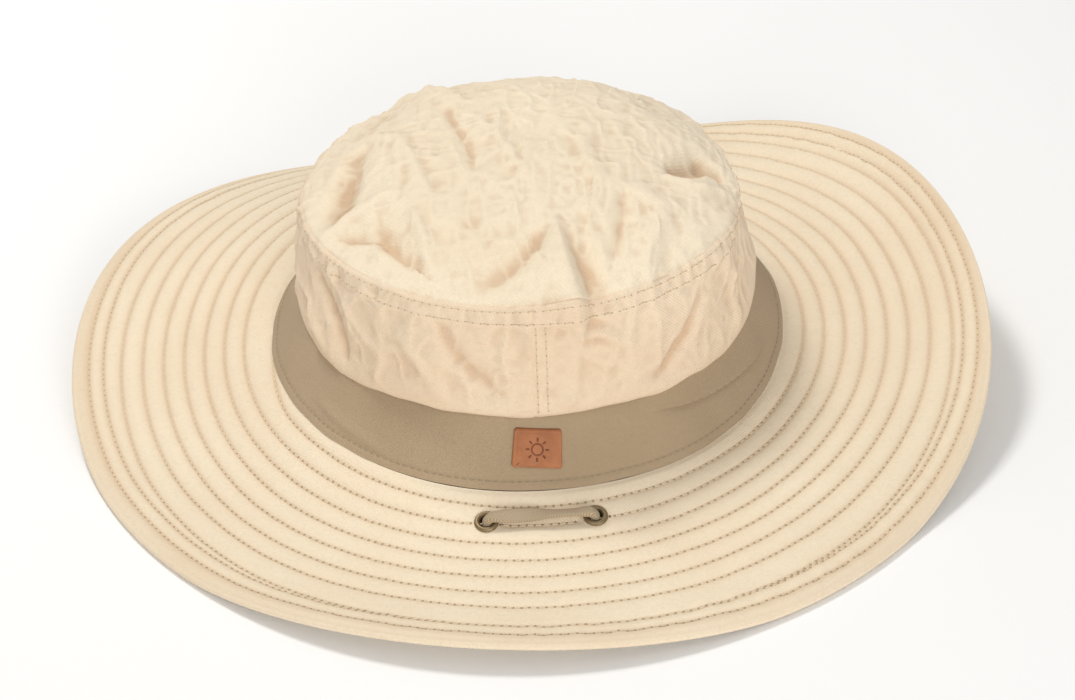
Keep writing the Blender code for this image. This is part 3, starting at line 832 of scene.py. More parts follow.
def brim_rows(lift, quilting):
    """Every row of stitches on one face of the brim, as finely stepped points and their normals."""
    turns = np.linspace(0, SPIRAL_TURNS, int(SPIRAL_TURNS * TURN * BRIM_MIDDLE / ROW_STEP))
    rows = [(SPIRAL_START + TURN * turns, spiral_out(turns))]
    for index in range(2):
        angles = np.linspace(0, TURN, int(TURN * (HEAD_HALF_WIDTH + HEM_ROW) / ROW_STEP))
        rows.append((angles, hem_row(angles, index)))
    paths = []
    for angles, outs in rows:
        points = brim_surface(angles, outs, lift + quilting * quilt(angles, outs))
        points[:, 2] = np.maximum(points[:, 2], THREAD_CLEARANCE)
        flat = brim_surface(angles, outs, lift)
        beside = brim_surface(angles, outs + 0.5 * MM, lift) - flat
        ahead = brim_surface(angles + 0.003, outs, lift) - flat
        normals = unit(np.cross(beside, ahead)) * np.sign(quilting)
        keep = np.ones(len(angles), bool)
        for side, hand in EYELETS:
            centre = np.array(eyelet_frame(side, hand).translation)
            keep &= np.linalg.norm(points - centre, axis=1) > FLANGE_RADIUS + 0.5 * MM
        paths.append((points[keep], normals[keep]))
    return paths


def brim_stitching(thread, hole):
    """The spiral and the hem rows on both faces, with needle holes on the top one."""
    top = brim_rows(BRIM_LIFT, 1.0)
    stitches("brim_stitches_top", [stitch_run(*path) for path in top], thread)
    needle_holes("brim_needle_holes", top[:1], hole, 0.5 * MM, 0.12)
    needle_holes("hem_needle_holes", top[1:], hole, 0.45 * MM, 0.6)
    under = brim_rows(UNDER_LIFT, UNDER_QUILTING)
    runs = [stitch_run(*path) for path in under]
    stitches("brim_stitches_underside", runs, thread, 0.2 * MM)


# Crown

# Folds that lie where the hat was squashed. Each is a line of points on the crown, in millimetres:
# x, y, z, then how far it stands out (a hollow is negative) and how wide it is on its two sides.
FOLDS = (
    # The tent-like peak over the patch side: a flap that rises to a ridge and drops steeply to its right
    ((9.5, -44, 93, 0.8, 2, 2), (10, -56, 89, 4.0, 5, 3), (12, -68, 83, 6.5, 11, 3.8),
     (14.5, -75, 79, 5.5, 9, 3.8), (15.5, -77, 68, 2.6, 5, 2.5),
     (13.5, -78, 56, 1.6, 4, 2), (12.5, -79, 40, 1.2, 3, 2)),
    ((7, -50, 92, -0.8, 2, 2), (-2, -62, 86, -2.6, 5, 3), (-12, -68, 82, -2.0, 6, 3),
     (-20, -71, 81, -0.5, 4, 3)),
    ((17, -60, 87, -1.2, 3, 4), (21, -72, 80, -3.0, 5, 6), (21, -77, 68, -1.6, 4, 6)),
    # Oval dents on the two shoulders
    ((-63, -20, 86, -5.5, 6, 7), (-60, -3, 90, -6, 6, 7), (-58, 8, 91, -3, 5, 5)),
    ((54, -12, 91, -5.5, 6, 5), (63, -3, 89, -6, 5, 6), (69, -4, 87, -4, 5, 5)),
    ((50, -19, 91, 1.6, 3, 1.5), (60, -22, 88, 3.0, 4, 1.5), (72, -17, 83, 2.4, 4, 1.5),
     (77, -14, 78, 1.0, 3, 2)),
    ((-70, -36, 80, 1.2, 3, 3), (-62, -28, 88, 2.0, 3, 3), (-46, -24, 93, 1.4, 3, 3)),
    # The shoulders sink in broadly, and the middle of the back stands up
    ((78, -24, 60, -3.5, 18, 18), (78, -14, 76, -5.0, 18, 18), (76, 22, 78, -4.5, 20, 20)),
    ((-76, -16, 76, -1.2, 18, 18), (-74, 18, 80, -2.8, 18, 18)),
    ((-56, 34, 86, -3.5, 13, 13), (-44, 50, 84, -3.5, 12, 12)),
    ((52, 36, 86, -2.2, 14, 14), (38, 58, 83, -1.5, 12, 12)),
    ((-14, 36, 95, 2.4, 30, 30), (18, 38, 95, 2.4, 30, 30)),
    # Front left: a dark crease where the tip folds over
    ((-62, -38, 84, -1.5, 2, 3), (-50, -43, 87, -4.0, 2, 8), (-39, -57, 84, -2.0, 2, 6)),
    ((-38, -36, 91, 1.5, 2, 2), (-34, -48, 88, 2.4, 3, 1.5), (-33, -60, 83, 1.0, 2, 2)),
    # Back left, where the outline has a kink
    ((-40, 60, 82, 3.0, 6, 1.5), (-31, 50, 90, 3.5, 8, 1.5), (-24, 40, 94, 1.5, 8, 3)),
    # Shallow pleats over the middle of the tip
    ((-25, 24, 97, -1.4, 2, 3), (-20, 5, 97, -1.8, 2, 3), (-15, -22, 95, -0.8, 2, 3)),
    ((-52, 18, 92, 1.4, 3, 2), (-42, 8, 95, 1.6, 3, 2), (-37, -10, 95, 1.4, 3, 2), (-34, -22, 94, 0.8, 3, 2)),
    ((-8, 22, 98, 1.2, 1.5, 2.5), (-8, 4, 98, 1.4, 1.5, 2.5), (-3, -14, 97, 1.2, 1.5, 2.5)),
    ((2, -2, 97, 1.0, 1.5, 2.5), (0, -22, 95, 1.5, 1.5, 2.5), (3, -36, 93, 0.6, 1.5, 2)),
    ((20, 0, 97, 0.9, 1.5, 3), (24, -22, 94, 1.8, 1.5, 3), (21, -44, 90, 1.4, 1.5, 3)),
    ((-20, -30, 94, -0.6, 2, 3), (-19, -44, 91, -1.2, 2, 4), (-13, -52, 89, -0.6, 2, 3)),
    ((33, -33, 92, -1.2, 2, 3), (31, -48, 88, -2.2, 2, 3), (27, -62, 83, -1.2, 2, 3)),
    ((36, -30, 92, 1.0, 2, 4), (46, -36, 88, 2.0, 3, 4), (42, -50, 85, 2.6, 3, 4), (38, -62, 81, 1.5, 3, 4)),
    # Side panel: diagonal creases at the lower left and right, and a hooked fold
    ((-66, -42, 72, 1.4, 2, 3), (-60, -50, 62, 2.0, 2, 3), (-52, -57, 52, 1.0, 2, 3)),
    ((-72, -36, 66, -2.0, 3, 5), (-67, -44, 56, -3.0, 3, 5), (-63, -50, 44, -1.8, 3, 4)),
    ((-74, -30, 52, 1.8, 4, 3), (-70, -40, 42, 2.4, 4, 3), (-64, -49, 36, 1.4, 4, 3)),
    ((58, -54, 66, -1.6, 3, 3), (53, -60, 54, -2.8, 3, 2), (43, -67, 43, -2.0, 3, 2),
     (36, -71, 38, -1, 3, 2)),
    ((17, -77, 66, 1.6, 2, 2), (24, -75.5, 65, 2.4, 2, 2), (30, -73.5, 60, 1.0, 2, 2)),
    ((-30, -73, 66, -1.2, 3, 4), (-25, -75, 56, -2.2, 3, 4), (-14, -77, 46, -1.2, 3, 4)),
    ((-44, -66, 62, 1.0, 3, 3), (-36, -70, 52, 1.6, 3, 3), (-30, -72, 42, 0.8, 3, 3)),
    ((66, -42, 70, 1.8, 3, 4), (70, -36, 56, 2.6, 3, 5), (70, -37, 42, 2.0, 3, 5)),
)


def fold_depth(points, normals):
    """How far the listed folds move each point along its normal."""
    total = np.zeros(points.shape[:-1])
    for fold in FOLDS:
        best = np.full(points.shape[:-1], np.inf)
        value = np.zeros(points.shape[:-1])
        for a, b in zip(fold, fold[1:]):
            start, end = np.array(a[:3]) * MM, np.array(b[:3]) * MM
            run = end - start
            share = np.clip((points - start) @ run / (run @ run), 0, 1)
            offset = points - start - share[..., None] * run
            on_left = np.einsum("...i,...i->...", np.cross(run, normals), offset) > 0
            height, left, right = (a[k] + (b[k] - a[k]) * share for k in (3, 4, 5))
            distance = np.linalg.norm(offset, axis=-1) / (np.where(on_left, left, right) * MM)
            closer = distance < best
            best = np.where(closer, distance, best)
            value = np.where(closer, height * MM * bell(distance, 1.0), value)
        total += value
    return total


def crumple(points, normals, below_seam):
    """Moves points of the crown out or in along their normals. below_seam is their distance from
    the tip's seam, down the side, and negative on the tip."""
    angles = np.arctan2(points[..., 1], points[..., 0])
    place = wrapped(angles, below_seam, TIP_HALF_WIDTH)
    on_tip = smooth(-below_seam / (9 * MM))
    move = fold_depth(points, normals)
    for height, size, seed in CLOTH_BUMPS:
        move += height * MM * noise(points, size * MM, seed)
    for share, layers in ((on_tip, TIP_CREASES), (1 - on_tip, SIDE_CREASES)):
        for height, size, seed in layers:
            move += share * height * MM * (creases(points, np.array(size) * MM, seed) - CREASE_MEAN)
    # The seam: a groove, the double cloth under its topstitching, and the puckers across that
    move -= 0.75 * MM * bell(below_seam, 0.75 * MM)
    felled = smooth((below_seam - 0.4 * MM) / (0.8 * MM)) * smooth((8.2 * MM - below_seam) / (0.8 * MM))
    move += 0.45 * MM * felled
    gathered = bell(below_seam - 3.5 * MM, 5 * MM)
    for height, size, seed in SEAM_PUCKERS:
        move += height * MM * gathered * noise(place, np.array(size) * MM, seed)
    return points + normals * move[..., None]


def near_angle(angles, degrees, width):
    """1 in this direction, fading to 0 away from it."""
    return bell(np.mod(angles, TURN) - math.radians(degrees), width)


def side_points(angles, shares):
    """The crown's side after crumpling: share 0 at the band, 1 at the tip's seam."""
    points = wall_surface(angles, 1.0 + shares)
    side = wall_surface(angles, 2.0 + 0 * angles) - wall_surface(angles, 1.0 + 0 * angles)
    below = (1 - shares) * np.linalg.norm(side, axis=-1)
    lean = SEAM_LEAN * smooth(1 - below / SEAM_LEAN_REACH)
    normals = unit(radial(angles) * (1 - 0.3 * lean[..., None]) + UP * lean[..., None])
    # The crumpling fades out downwards, so that the cloth's lower edge stays outside the band
    free = smooth((shares - 0.02) / 0.16)[..., None]
    moved = points + (crumple(points, normals, below) - points) * free
    # Two pouches of cloth hang over the band, at the left and the right of the patch side
    left = near_angle(angles, 212, 0.24)
    right = near_angle(angles, 333, 0.3)
    ends = 0.35 + 0.65 * np.abs(np.cos(angles))
    hang = (1.5 * MM + 0.5 * MM * ends - 0.2 * MM * left + 0.3 * MM * right) * bell(shares - 0.05, 0.17)
    uneven = 1.1 * MM * noise(wrapped(angles, 0.0, TIP_HALF_WIDTH), 9 * MM, 21)
    droop = (4.2 * MM * left + 3.0 * MM * right + uneven) * bell(shares, 0.16)
    tuck = 0.7 * MM * bell(shares, 0.015)
    across = np.mod(angles - FRONT + math.pi, math.pi) * TIP_HALF_WIDTH
    across = np.minimum(across, math.pi * TIP_HALF_WIDTH - across)
    seam = -0.45 * MM * bell(across, 0.7 * MM) * smooth(below / (2 * MM))
    return moved + radial(angles) * (hang - tuck + seam)[..., None] - UP * droop[..., None]


def tip_points(angles, shares):
    """The tip after crumpling: share 0 in its middle, 1 at its seam."""
    points = tip_surface(angles, shares)
    middle = np.array([0, CROWN_TOP_SHIFT, 0])
    below = -(1 - shares) * np.linalg.norm((points - middle)[..., :2], axis=-1) / np.maximum(shares, 0.05)
    lean = SEAM_LEAN * smooth(1 + below / SEAM_LEAN_REACH)
    slope = 0.35 * shares**2
    outward = radial(angles) * np.maximum(lean, slope)[..., None]
    upward = UP * np.where(lean > 0, 1 - 0.3 * lean, 1.0)[..., None]
    return crumple(points, unit(outward + upward), below)


def inset(grid):
    """The inner face of a piece of cloth, from the grid of its outer face."""
    normals = unit(np.cross(np.gradient(grid, axis=1), np.gradient(grid, axis=0)))
    return grid - normals * CLOTH


def crown_sides(material):
    """The two side panels, whose rows lie closer together at the bottom, where the cloth hangs."""
    shares = np.linspace(0, 1, 60)[:, None] ** 1.1
    for name, start in (("right", FRONT), ("left", -FRONT)):
        angles = np.linspace(start, start + math.pi, 340) + 0 * shares
        outer = side_points(angles, shares + 0 * angles)
        plain = wall_surface(angles, 1 + shares + 0 * angles)
        relief = np.hypot(outer[..., 0], outer[..., 1]) - np.hypot(plain[..., 0], plain[..., 1])
        obj = panel(f"crown_side_cloth_{name}", outer, inset(outer), angles * CROWN_HALF_WIDTH, outer[..., 2],
                    material, "cream_cloth", closed=False, shade=0.55 * creased(relief))
        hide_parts(f"crown_side_{name}")


def disc_grid(count=210):
    """Angles and shares of a square grid drawn onto a disc, so that no cell is thin at the middle."""
    edge = np.linspace(-1, 1, count)
    a, b = np.meshgrid(edge, edge, indexing="ij")
    wide = np.abs(a) > np.abs(b)
    share = np.maximum(np.abs(a), np.abs(b))
    # Each of the square's four triangles becomes a quarter of the disc
    slope = np.where(wide, b / np.where(wide, a, 1), a / np.where(wide, 1, np.where(b == 0, 1, b)))
    part = math.pi / 4 * slope
    on_x = part + np.where(a < 0, math.pi, 0)
    on_y = math.pi / 2 - part + np.where(b < 0, math.pi, 0)
    return np.where(wide, on_x, on_y), share


def crown_tip(material):
    """The oval top panel."""
    angles, shares = disc_grid()
    outer = tip_points(angles, shares)
    relief = outer[..., 2] - tip_surface(angles, shares)[..., 2]
    obj = panel("crown_tip_cloth", outer, outer - UP * CLOTH, outer[..., 0], outer[..., 1], material,
                "cream_cloth", closed=False, flip=True, shade=0.85 * creased(relief))
    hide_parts("crown_tip")


def surface_row(place, angles, shares):
    """A path along a surface of the crown or a band, with its normals."""
    points = place(angles, shares)
    ahead = place(angles + 0.002, shares) - points
    above = place(angles, shares + 0.002) - points
    return points, unit(np.cross(ahead, above))


def crown_stitching(thread, hole):
    """Two rows below the tip's seam, and two beside each of the upright seams."""
    angles = np.linspace(0, TURN, 2400)
    side_height = 43 * MM
    paths = []
    for gap in (2.4 * MM, 6.6 * MM):
        paths.append(surface_row(side_points, angles, 1 - gap / side_height + 0 * angles))
    shares = np.linspace(0.03, 0.82, 200)
    for middle in (FRONT, -FRONT):
        for offset in (1.0 * MM, 4.2 * MM):
            turned_by = offset / CROWN_HALF_LENGTH
            paths.append(surface_row(side_points, middle + turned_by + 0 * shares, shares))
    stitches("crown_stitches", [stitch_run(*path) for path in paths], thread, 0.22 * MM)
    needle_holes("crown_needle_holes", paths, hole, 0.26 * MM, 0.6)


# Bands


def band_points(angles, levels):
    """The hatband's outer face, from its lower edge at level 0. It runs up under the crown."""
    points = wall_surface(angles, levels)
    arc = (np.mod(angles + FRONT, TURN) - math.pi) * BAND_RADIUS
    slant = levels * BAND_WIDTH
    place = wrapped(angles, slant, BAND_RADIUS)
    move = 0.8 * MM * noise(place, (30 * MM, 30 * MM, 16 * MM), 31) + 0.25 * MM * noise(place, 9 * MM, 32)
    # The fold at the right: the cloth above the line laps over the cloth below it
    line = 17.5 * MM - (arc - 55 * MM) * 0.14
    above = slant - line
    run = smooth((arc - 40 * MM) / (18 * MM)) * smooth((112 * MM - arc) / (20 * MM))
    lap = smooth((above + 0.5 * MM) / (0.9 * MM)) * np.exp(-np.maximum(above, 0) / (6 * MM))
    move += run * 2.6 * MM * lap
    move -= run * 0.5 * MM * bell(above + 1.2 * MM, 1.2 * MM)
    # A soft ridge at the left
    ridge = slant - 7 * MM + (arc + 70 * MM) * 0.1
    run = smooth((-arc - 48 * MM) / (12 * MM)) * smooth((92 * MM + arc) / (12 * MM))
    move += run * 0.9 * MM * bell(ridge, 2.2 * MM)
    # A turned edge, drawn in by its row of stitches
    move += 0.35 * MM * smooth((3.2 * MM - slant) / (0.8 * MM))
    move -= 0.3 * MM * bell(slant - BAND_ROW, 0.6 * MM)
    # Flat under the crown and behind the leather patch
    move *= smooth((1.12 - levels) / 0.1)
    patch = smooth((13 * MM - np.abs(arc)) / (4 * MM))
    move *= 1 - 0.85 * patch * smooth((slant - 4 * MM) / (3 * MM))
    return points + radial(angles) * move[..., None]


def band_grid(columns, levels):
    """Angles and levels of a grid round a band, and the lengths round and up it for its weave."""
    angles = np.pi / 2 + TURN * np.arange(columns) / columns + 0 * levels[:, None]
    u, v = np.meshgrid(np.linspace(0, BAND_LENGTH, columns + 1), levels * BAND_WIDTH)
    return angles, levels[:, None] + 0 * angles, u, v


def hatband(material, thread):
    """The khaki band, with a row of stitches along its lower edge."""
    angles, levels, u, v = band_grid(720, np.linspace(0.0, 1.05, 52))
    inner = wall_surface(angles, levels) - radial(angles) * 1.1 * MM
    obj = panel("hatband_cloth", band_points(angles, levels), inner, u, v, material, "khaki_cloth")
    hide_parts("hatband")
    steps = np.linspace(0, TURN, 2400)
    row = surface_row(band_points, steps, BAND_ROW / BAND_WIDTH + 0 * steps)
    stitches("hatband_stitches", [stitch_run(*row)], thread, 0.2 * MM)


def sweat_points(angles, levels):
    """The sweatband's inner face. Below level 0 it hangs into the head opening."""
    below = UP * (np.minimum(levels, 0) * BAND_WIDTH)[..., None]
    points = wall_surface(angles, np.maximum(levels, 0)) + below
    place = wrapped(angles, levels * BAND_WIDTH, BAND_RADIUS)
    move = -0.45 * MM * (1 + noise(place, 18 * MM, 41)) - 0.2 * MM * (1 + noise(place, 7 * MM, 42))
    return points + radial(angles) * (move - 2.6 * MM)[..., None]


def sweatband(material, thread):
    """The tape inside the head opening, with a row of stitches along each edge."""
    angles, levels, u, v = band_grid(480, np.linspace(-0.1, 1.2, 44))
    inner = sweat_points(angles, levels)
    outer = inner + radial(angles) * 0.9 * MM
    obj = panel("sweatband_cloth", outer, inner, u, v, material, "khaki_cloth")
    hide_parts("sweatband")
    steps = np.linspace(0, TURN, 2200)
    runs = []
    for level in (-0.04, 1.14):
        points, normals = surface_row(sweat_points, steps, level + 0 * steps)
        runs.append(stitch_run(points, -normals))
    stitches("sweatband_stitches", runs, thread, 0.2 * MM)


# Leather patch


def patch_place(x, y, out):
    """A point of the patch from its middle: x along the band, y up it, and out from the band."""
    x, y = x + PATCH_TILT * y, y - PATCH_TILT * x
    angle = FRONT + x / PATCH_RADIUS
    level = PATCH_LEVEL + y / BAND_WIDTH
    return band_points(angle, level) + radial(angle) * (out + 0.15 * MM)[..., None]


def rounded_rectangle(half_width, half_height, corner, steps):
    """Its outline, with this many steps round each corner."""
    points = []
    for k, (sx, sy) in enumerate(((1, 1), (-1, 1), (-1, -1), (1, -1))):
        for step in range(steps + 1):
            angle = math.pi / 2 * (k + step / steps)
            points.append((sx * (half_width - corner) + corner * math.cos(angle),
                           sy * (half_height - corner) + corner * math.sin(angle)))
    return np.array(points)


def leather_patch(material, ink):
    """The patch, with a groove pressed in beside its rounded edge."""
    outline = rounded_rectangle(PATCH_HALF_WIDTH, PATCH_HALF_HEIGHT, 0.9 * MM, 8)
    # Each ring's share of the outline, and its height in thicknesses
    rings = [(1.0, 0.0), (1.0, 0.55), (0.985, 0.85), (0.955, 1.0), (0.9, 1.02), (0.87, 0.86), (0.84, 1.0)]
    rings += [(share, 1.0) for share in (0.75, 0.6, 0.45, 0.3, 0.15)]
    count = len(outline)
    points = []
    for share, height in rings:
        x, y = (outline * share).T
        points.append(patch_place(x, y, height * PATCH_THICKNESS + 0 * x))
    middle = np.zeros(1)
    points.append(patch_place(middle, middle, middle + PATCH_THICKNESS))
    points.append(patch_place(middle, middle, middle))
    points = np.concatenate(points)
    faces = ring_quads(len(rings), count).tolist()
    last = (len(rings) - 1) * count
    for k in range(count):
        after = (k + 1) % count
        faces.append((last + k, last + after, len(points) - 2))
        faces.append((after, k, len(points) - 1))
    obj = mesh_object("leather_patch_tooled", points, faces, material, sharp=180)
    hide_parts("leather_patch")
    emblem(ink)


def emblem(ink):
    """A plain sun burnt into the leather: a ring and eight short rays."""
    strokes = [[(1.9 * MM, TURN * k / 32) for k in range(33)]]
    strokes += [[(reach * MM, TURN * k / 8) for reach in (2.7, 3.3, 3.9)] for k in range(8)]
    radius, sides = 0.32 * MM, 8
    points, faces = [], []
    for stroke in strokes:
        flat = np.array([(reach * math.cos(angle), reach * math.sin(angle)) for reach, angle in stroke])
        along = unit(np.gradient(flat, axis=0))
        beside = np.stack([-along[:, 1], along[:, 0]], -1)
        rows = []
        for k in range(sides):
            angle = TURN * k / sides
            x, y = (flat + beside * radius * math.cos(angle)).T
            rows.append(patch_place(x, y, PATCH_THICKNESS + 0.3 * radius * math.sin(angle) + 0 * x))
        for face in ring_quads(len(flat), sides).tolist() + end_caps(len(flat), sides):
            faces.append([len(points) + corner for corner in face])
        points.extend(np.stack(rows, 1).reshape(-1, 3).tolist())
    mesh_object("patch_emblem", points, faces, ink, sharp=180)


# Eyelets


def brim_place(angle, out):
    """A point of the brim's top face."""
    return Vector(brim_surface(np.array(angle), np.array(out), BRIM_LIFT).tolist())


def eyelet_frame(side, hand):
    """Where an eyelet sits on the brim's top face, and which way it points. Its Z leaves the brim."""
    angle = eyelet_angle(side, hand)
    here = brim_place(angle, EYELET_OUT)
    step = 1.5 * MM
    outwards = brim_place(angle, EYELET_OUT + step) - here
    along = brim_place(angle + step / (HEAD_HALF_LENGTH + EYELET_OUT), EYELET_OUT) - here
    normal = outwards.cross(along).normalized()
    across = (Vector((1, 0, 0)) - normal * normal.x).normalized()
    frame = Matrix((across, normal.cross(across), normal)).transposed().to_4x4()
    frame.translation = here
    return frame


def turned(name, profile, frame, brass):
    """A closed profile of (radius, height) pairs turned round the frame's Z axis."""
    steps = 64
    angles = TURN * np.arange(steps)[:, None] / steps
    radii, heights = np.array(profile).T
    rings = np.stack([radii * np.cos(angles), radii * np.sin(angles), heights + 0 * angles], -1)
    matrix = np.array(frame)
    points = rings @ matrix[:3, :3].T + matrix[:3, 3]
    faces = ring_quads(steps, len(profile), joined=True)[:, [0, 3, 2, 1]]
    return mesh_object(name, points, faces, brass, sharp=60)


def arc_profile(centre, radius, start, end, steps, squash=1.0):
    """Points of an arc in a turned profile, from one angle to another in degrees."""
    points = []
    for k in range(steps + 1):
        angle = math.radians(start + (end - start) * k / steps)
        points.append((centre[0] + radius * math.cos(angle), centre[1] + squash * radius * math.sin(angle)))
    return points


def eyelets(brass):
    """Each eyelet is a rolled ring with a barrel through the brim, flared over its washer below."""
    middle = (BORE_RADIUS + FLANGE_RADIUS) / 2
    shell = arc_profile((middle, 0.15 * MM), FLANGE_RADIUS - middle, 0, 180, 14, 1.15)
    shell += [(BORE_RADIUS, -3.9 * MM)]
    shell += arc_profile((2.9 * MM, -4.0 * MM), 0.6 * MM, 180, 360, 8)
    shell += [(2.8 * MM, -3.8 * MM), (2.8 * MM, 0.0), (4.0 * MM, 0.0)]
    plate = ((2.95, -3.7), (3.6, -3.8), (4.3, -3.7), (4.4, -3.45), (4.1, -3.25), (2.95, -3.25))
    for side, hand in EYELETS:
        name = f"{SIDE_NAMES[side]}_{HAND_NAMES[hand]}"
        frame = eyelet_frame(side, hand)
        ring = turned(f"{name}_eyelet_ring", shell, frame, brass)
        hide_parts(f"{name}_eyelet")
        washer = turned(f"{name}_washer_plate", np.array(plate) * MM, frame, brass)
        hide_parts(f"{name}_washer")


# Chin lace


def smooth_route(route):
    """Points 1 mm apart along a Catmull-Rom curve through the route."""
    route = [np.array(place, float) for place in route]
    ends = [2 * route[0] - route[1]] + route + [2 * route[-1] - route[-2]]
    points = [route[0]]
    for before, a, b, after in zip(ends, ends[1:], ends[2:], ends[3:]):
        steps = max(2, round(np.linalg.norm(b - a) / MM))
        for k in range(1, steps + 1):
            t = k / steps
            points.append(0.5 * (2 * a + (b - before) * t + (2 * before - 5 * a + 4 * b - after) * t**2
                                 + (3 * a - before - 3 * b + after) * t**3))
    return np.array(points)


def millimetres(*places):
    """Places that are written in millimetres, in metres."""
    return [np.array(place, float) * MM for place in places]


def loop_over(side):
    """Up through the left eyelet from its knot, across to the right one and down."""
    left = eyelet_frame(side, -1)
    right = eyelet_frame(side, 1)
    over = [(0, -1.5 * MM), (0.2 * MM, 0.6 * MM), (1.6 * MM, 2.4 * MM), (3.6 * MM, LOOP_HEIGHT - 0.5 * MM)]
    up = [left @ Vector((x, 0, z)) for x, z in over]
    down = [right @ Vector((-x, 0, z)) for x, z in reversed(over)]
    middle = []
    for share, lift in ((0.25, -0.1), (0.5, 0.0), (0.75, -0.1)):
        middle.append(up[-1].lerp(down[0], share) + Vector((0, 0, lift * MM)))
    start = left @ Vector((0, 0, -6.2 * MM))
    end = right @ Vector((0, 0, -4.9 * MM))
    return [start] + up + middle + down + [end]


def lace_route():
    """From the near knot through its eyelets and the slide, round the coil, and back to the far knot."""
    near_leg = millimetres(
        (20.5, -99, 3.4), (25, -95.5, 2.4), (35, -91, 2.0), (50, -84, 2.0), (66, -76, 2.0),
        (81, -66, 2.0), (91, -54, 2.2), (91, -41, 2.8), (83, -32.6, 3.6), (74, -31, 3.9),
        (66, -31, 3.9), (40, -31, 3.9), (26, -31, 3.7), (8, -31, 2.7), (-10, -31, 2.6),
    )
    turns, steps = 1.75, 30
    coil = []
    for k in range(1, steps + 1):
        angle = FRONT - TURN * turns * k / steps
        height = 2.7 * MM + 3.0 * MM * smooth(k / steps)
        coil.append((COIL_X + COIL_RADIUS * math.cos(angle), COIL_RADIUS * math.sin(angle), height))
    away = millimetres((10.5, -8, 5.6), (13.5, -16.5, 5.2), (19, -22.8, 4.5))
    far_leg = millimetres(
        (20.5, 102, 16.5), (24, 97.5, 12), (32, 90.5, 7), (44, 82, 3.4), (60, 71, 2.2),
        (77, 53, 2.0), (89, 30, 2.0), (94, 5, 2.2), (92, -13, 2.8), (84, -23.4, 3.6),
        (75, -25, 3.9), (66, -25, 3.9), (45, -25, 3.9), (27, -25, 3.9),
    )
    return loop_over(-1) + near_leg + coil + away + far_leg[::-1] + loop_over(1)[::-1]


def width_ways(ahead):
    """Which way the lace's width points along it: level, and across the loop in the eyelets."""
    flat = np.cross(ahead, UP)
    upright = np.abs(ahead[:, 2:]) > 0.8
    ways = unit(np.where(upright, np.array([0.0, 1.0, 0.0]) * np.sign(flat[:, 1:2] + 1e-9), flat))
    for i in range(1, len(ways)):
        if ways[i] @ ways[i - 1] < 0:
            ways[i] = -ways[i]
    for _ in range(4):
        ways[1:-1] = unit(ways[:-2] + 2 * ways[1:-1] + ways[2:])
    return unit(ways - ahead * np.einsum("ij,ij->i", ways, ahead)[:, None])


def lace_sizes(path):
    """Width and thickness along the lace, gathered where it runs through an eyelet or the slide."""
    width = np.full(len(path), LACE_WIDTH)
    thick = np.full(len(path), LACE_THICKNESS)
    for side, hand in EYELETS:
        gap = np.linalg.norm(path - np.array(eyelet_frame(side, hand).translation), axis=1)
        near = smooth(1.6 - gap / (4.5 * MM))
        width -= (LACE_WIDTH - 3.7 * MM) * near
        thick += 1.5 * MM * near
    x, y = path[:, 0], path[:, 1]
    on_strands = smooth((x - 20 * MM) / (8 * MM)) * smooth((80 * MM - x) / (8 * MM))
    on_strands *= np.abs(y - STRANDS_MIDDLE_Y) < 6 * MM
    width -= (LACE_WIDTH - 3.9 * MM) * on_strands
    thick += 0.9 * MM * on_strands
    return width, thick


def lace_twist(path, lengths):
    """How far the lace is turned about its own length: a little, between the eyelets of a pair."""
    twist = np.zeros(len(path))
    for side in (-1, 1):
        middle = (eyelet_frame(side, -1).translation + eyelet_frame(side, 1).translation) / 2
        gap = lengths - lengths[np.argmin(np.linalg.norm(path - np.array(middle), axis=1))]
        twist += 0.3 * np.tanh(gap / (3 * MM)) * smooth((17 * MM - np.abs(gap)) / (6 * MM))
    return twist


def lace_mesh(material):
    """The flat braid, with the path of its middle and its length."""
    path = smooth_route(lace_route())
    lengths = lengths_along(path)
    ahead = unit(np.gradient(path, axis=0))
    side = width_ways(ahead)
    other = np.cross(side, ahead)
    width, thick = lace_sizes(path)
    twist = lace_twist(path, lengths)
    sides = 14
    rows = []
    for k in range(sides):
        x, y = math.cos(TURN * k / sides), math.sin(TURN * k / sides)
        w = math.copysign(abs(x) ** 0.8, x) * width / 2
        t = math.copysign(abs(y) ** 0.6, y) * thick / 2
        sideways = w * np.cos(twist) - t * np.sin(twist)
        upwards = w * np.sin(twist) + t * np.cos(twist)
        rows.append(path + side * sideways[:, None] + other * upwards[:, None])
    faces = ring_quads(len(path), sides).tolist() + end_caps(len(path), sides)
    across = np.cos(TURN * np.arange(sides + 1) / sides) * LACE_WIDTH / 2
    step, k = ring_corners(len(path) - 1, sides)
    uv = np.stack([lengths[step], across[k]], -1).reshape(-1, 2)
    uv = np.concatenate([uv, np.zeros((2 * sides, 2))])
    obj = mesh_object("chin_lace", np.stack(rows, 1), faces, material, uv=uv, sharp=60)
    return obj, path, float(lengths[-1])


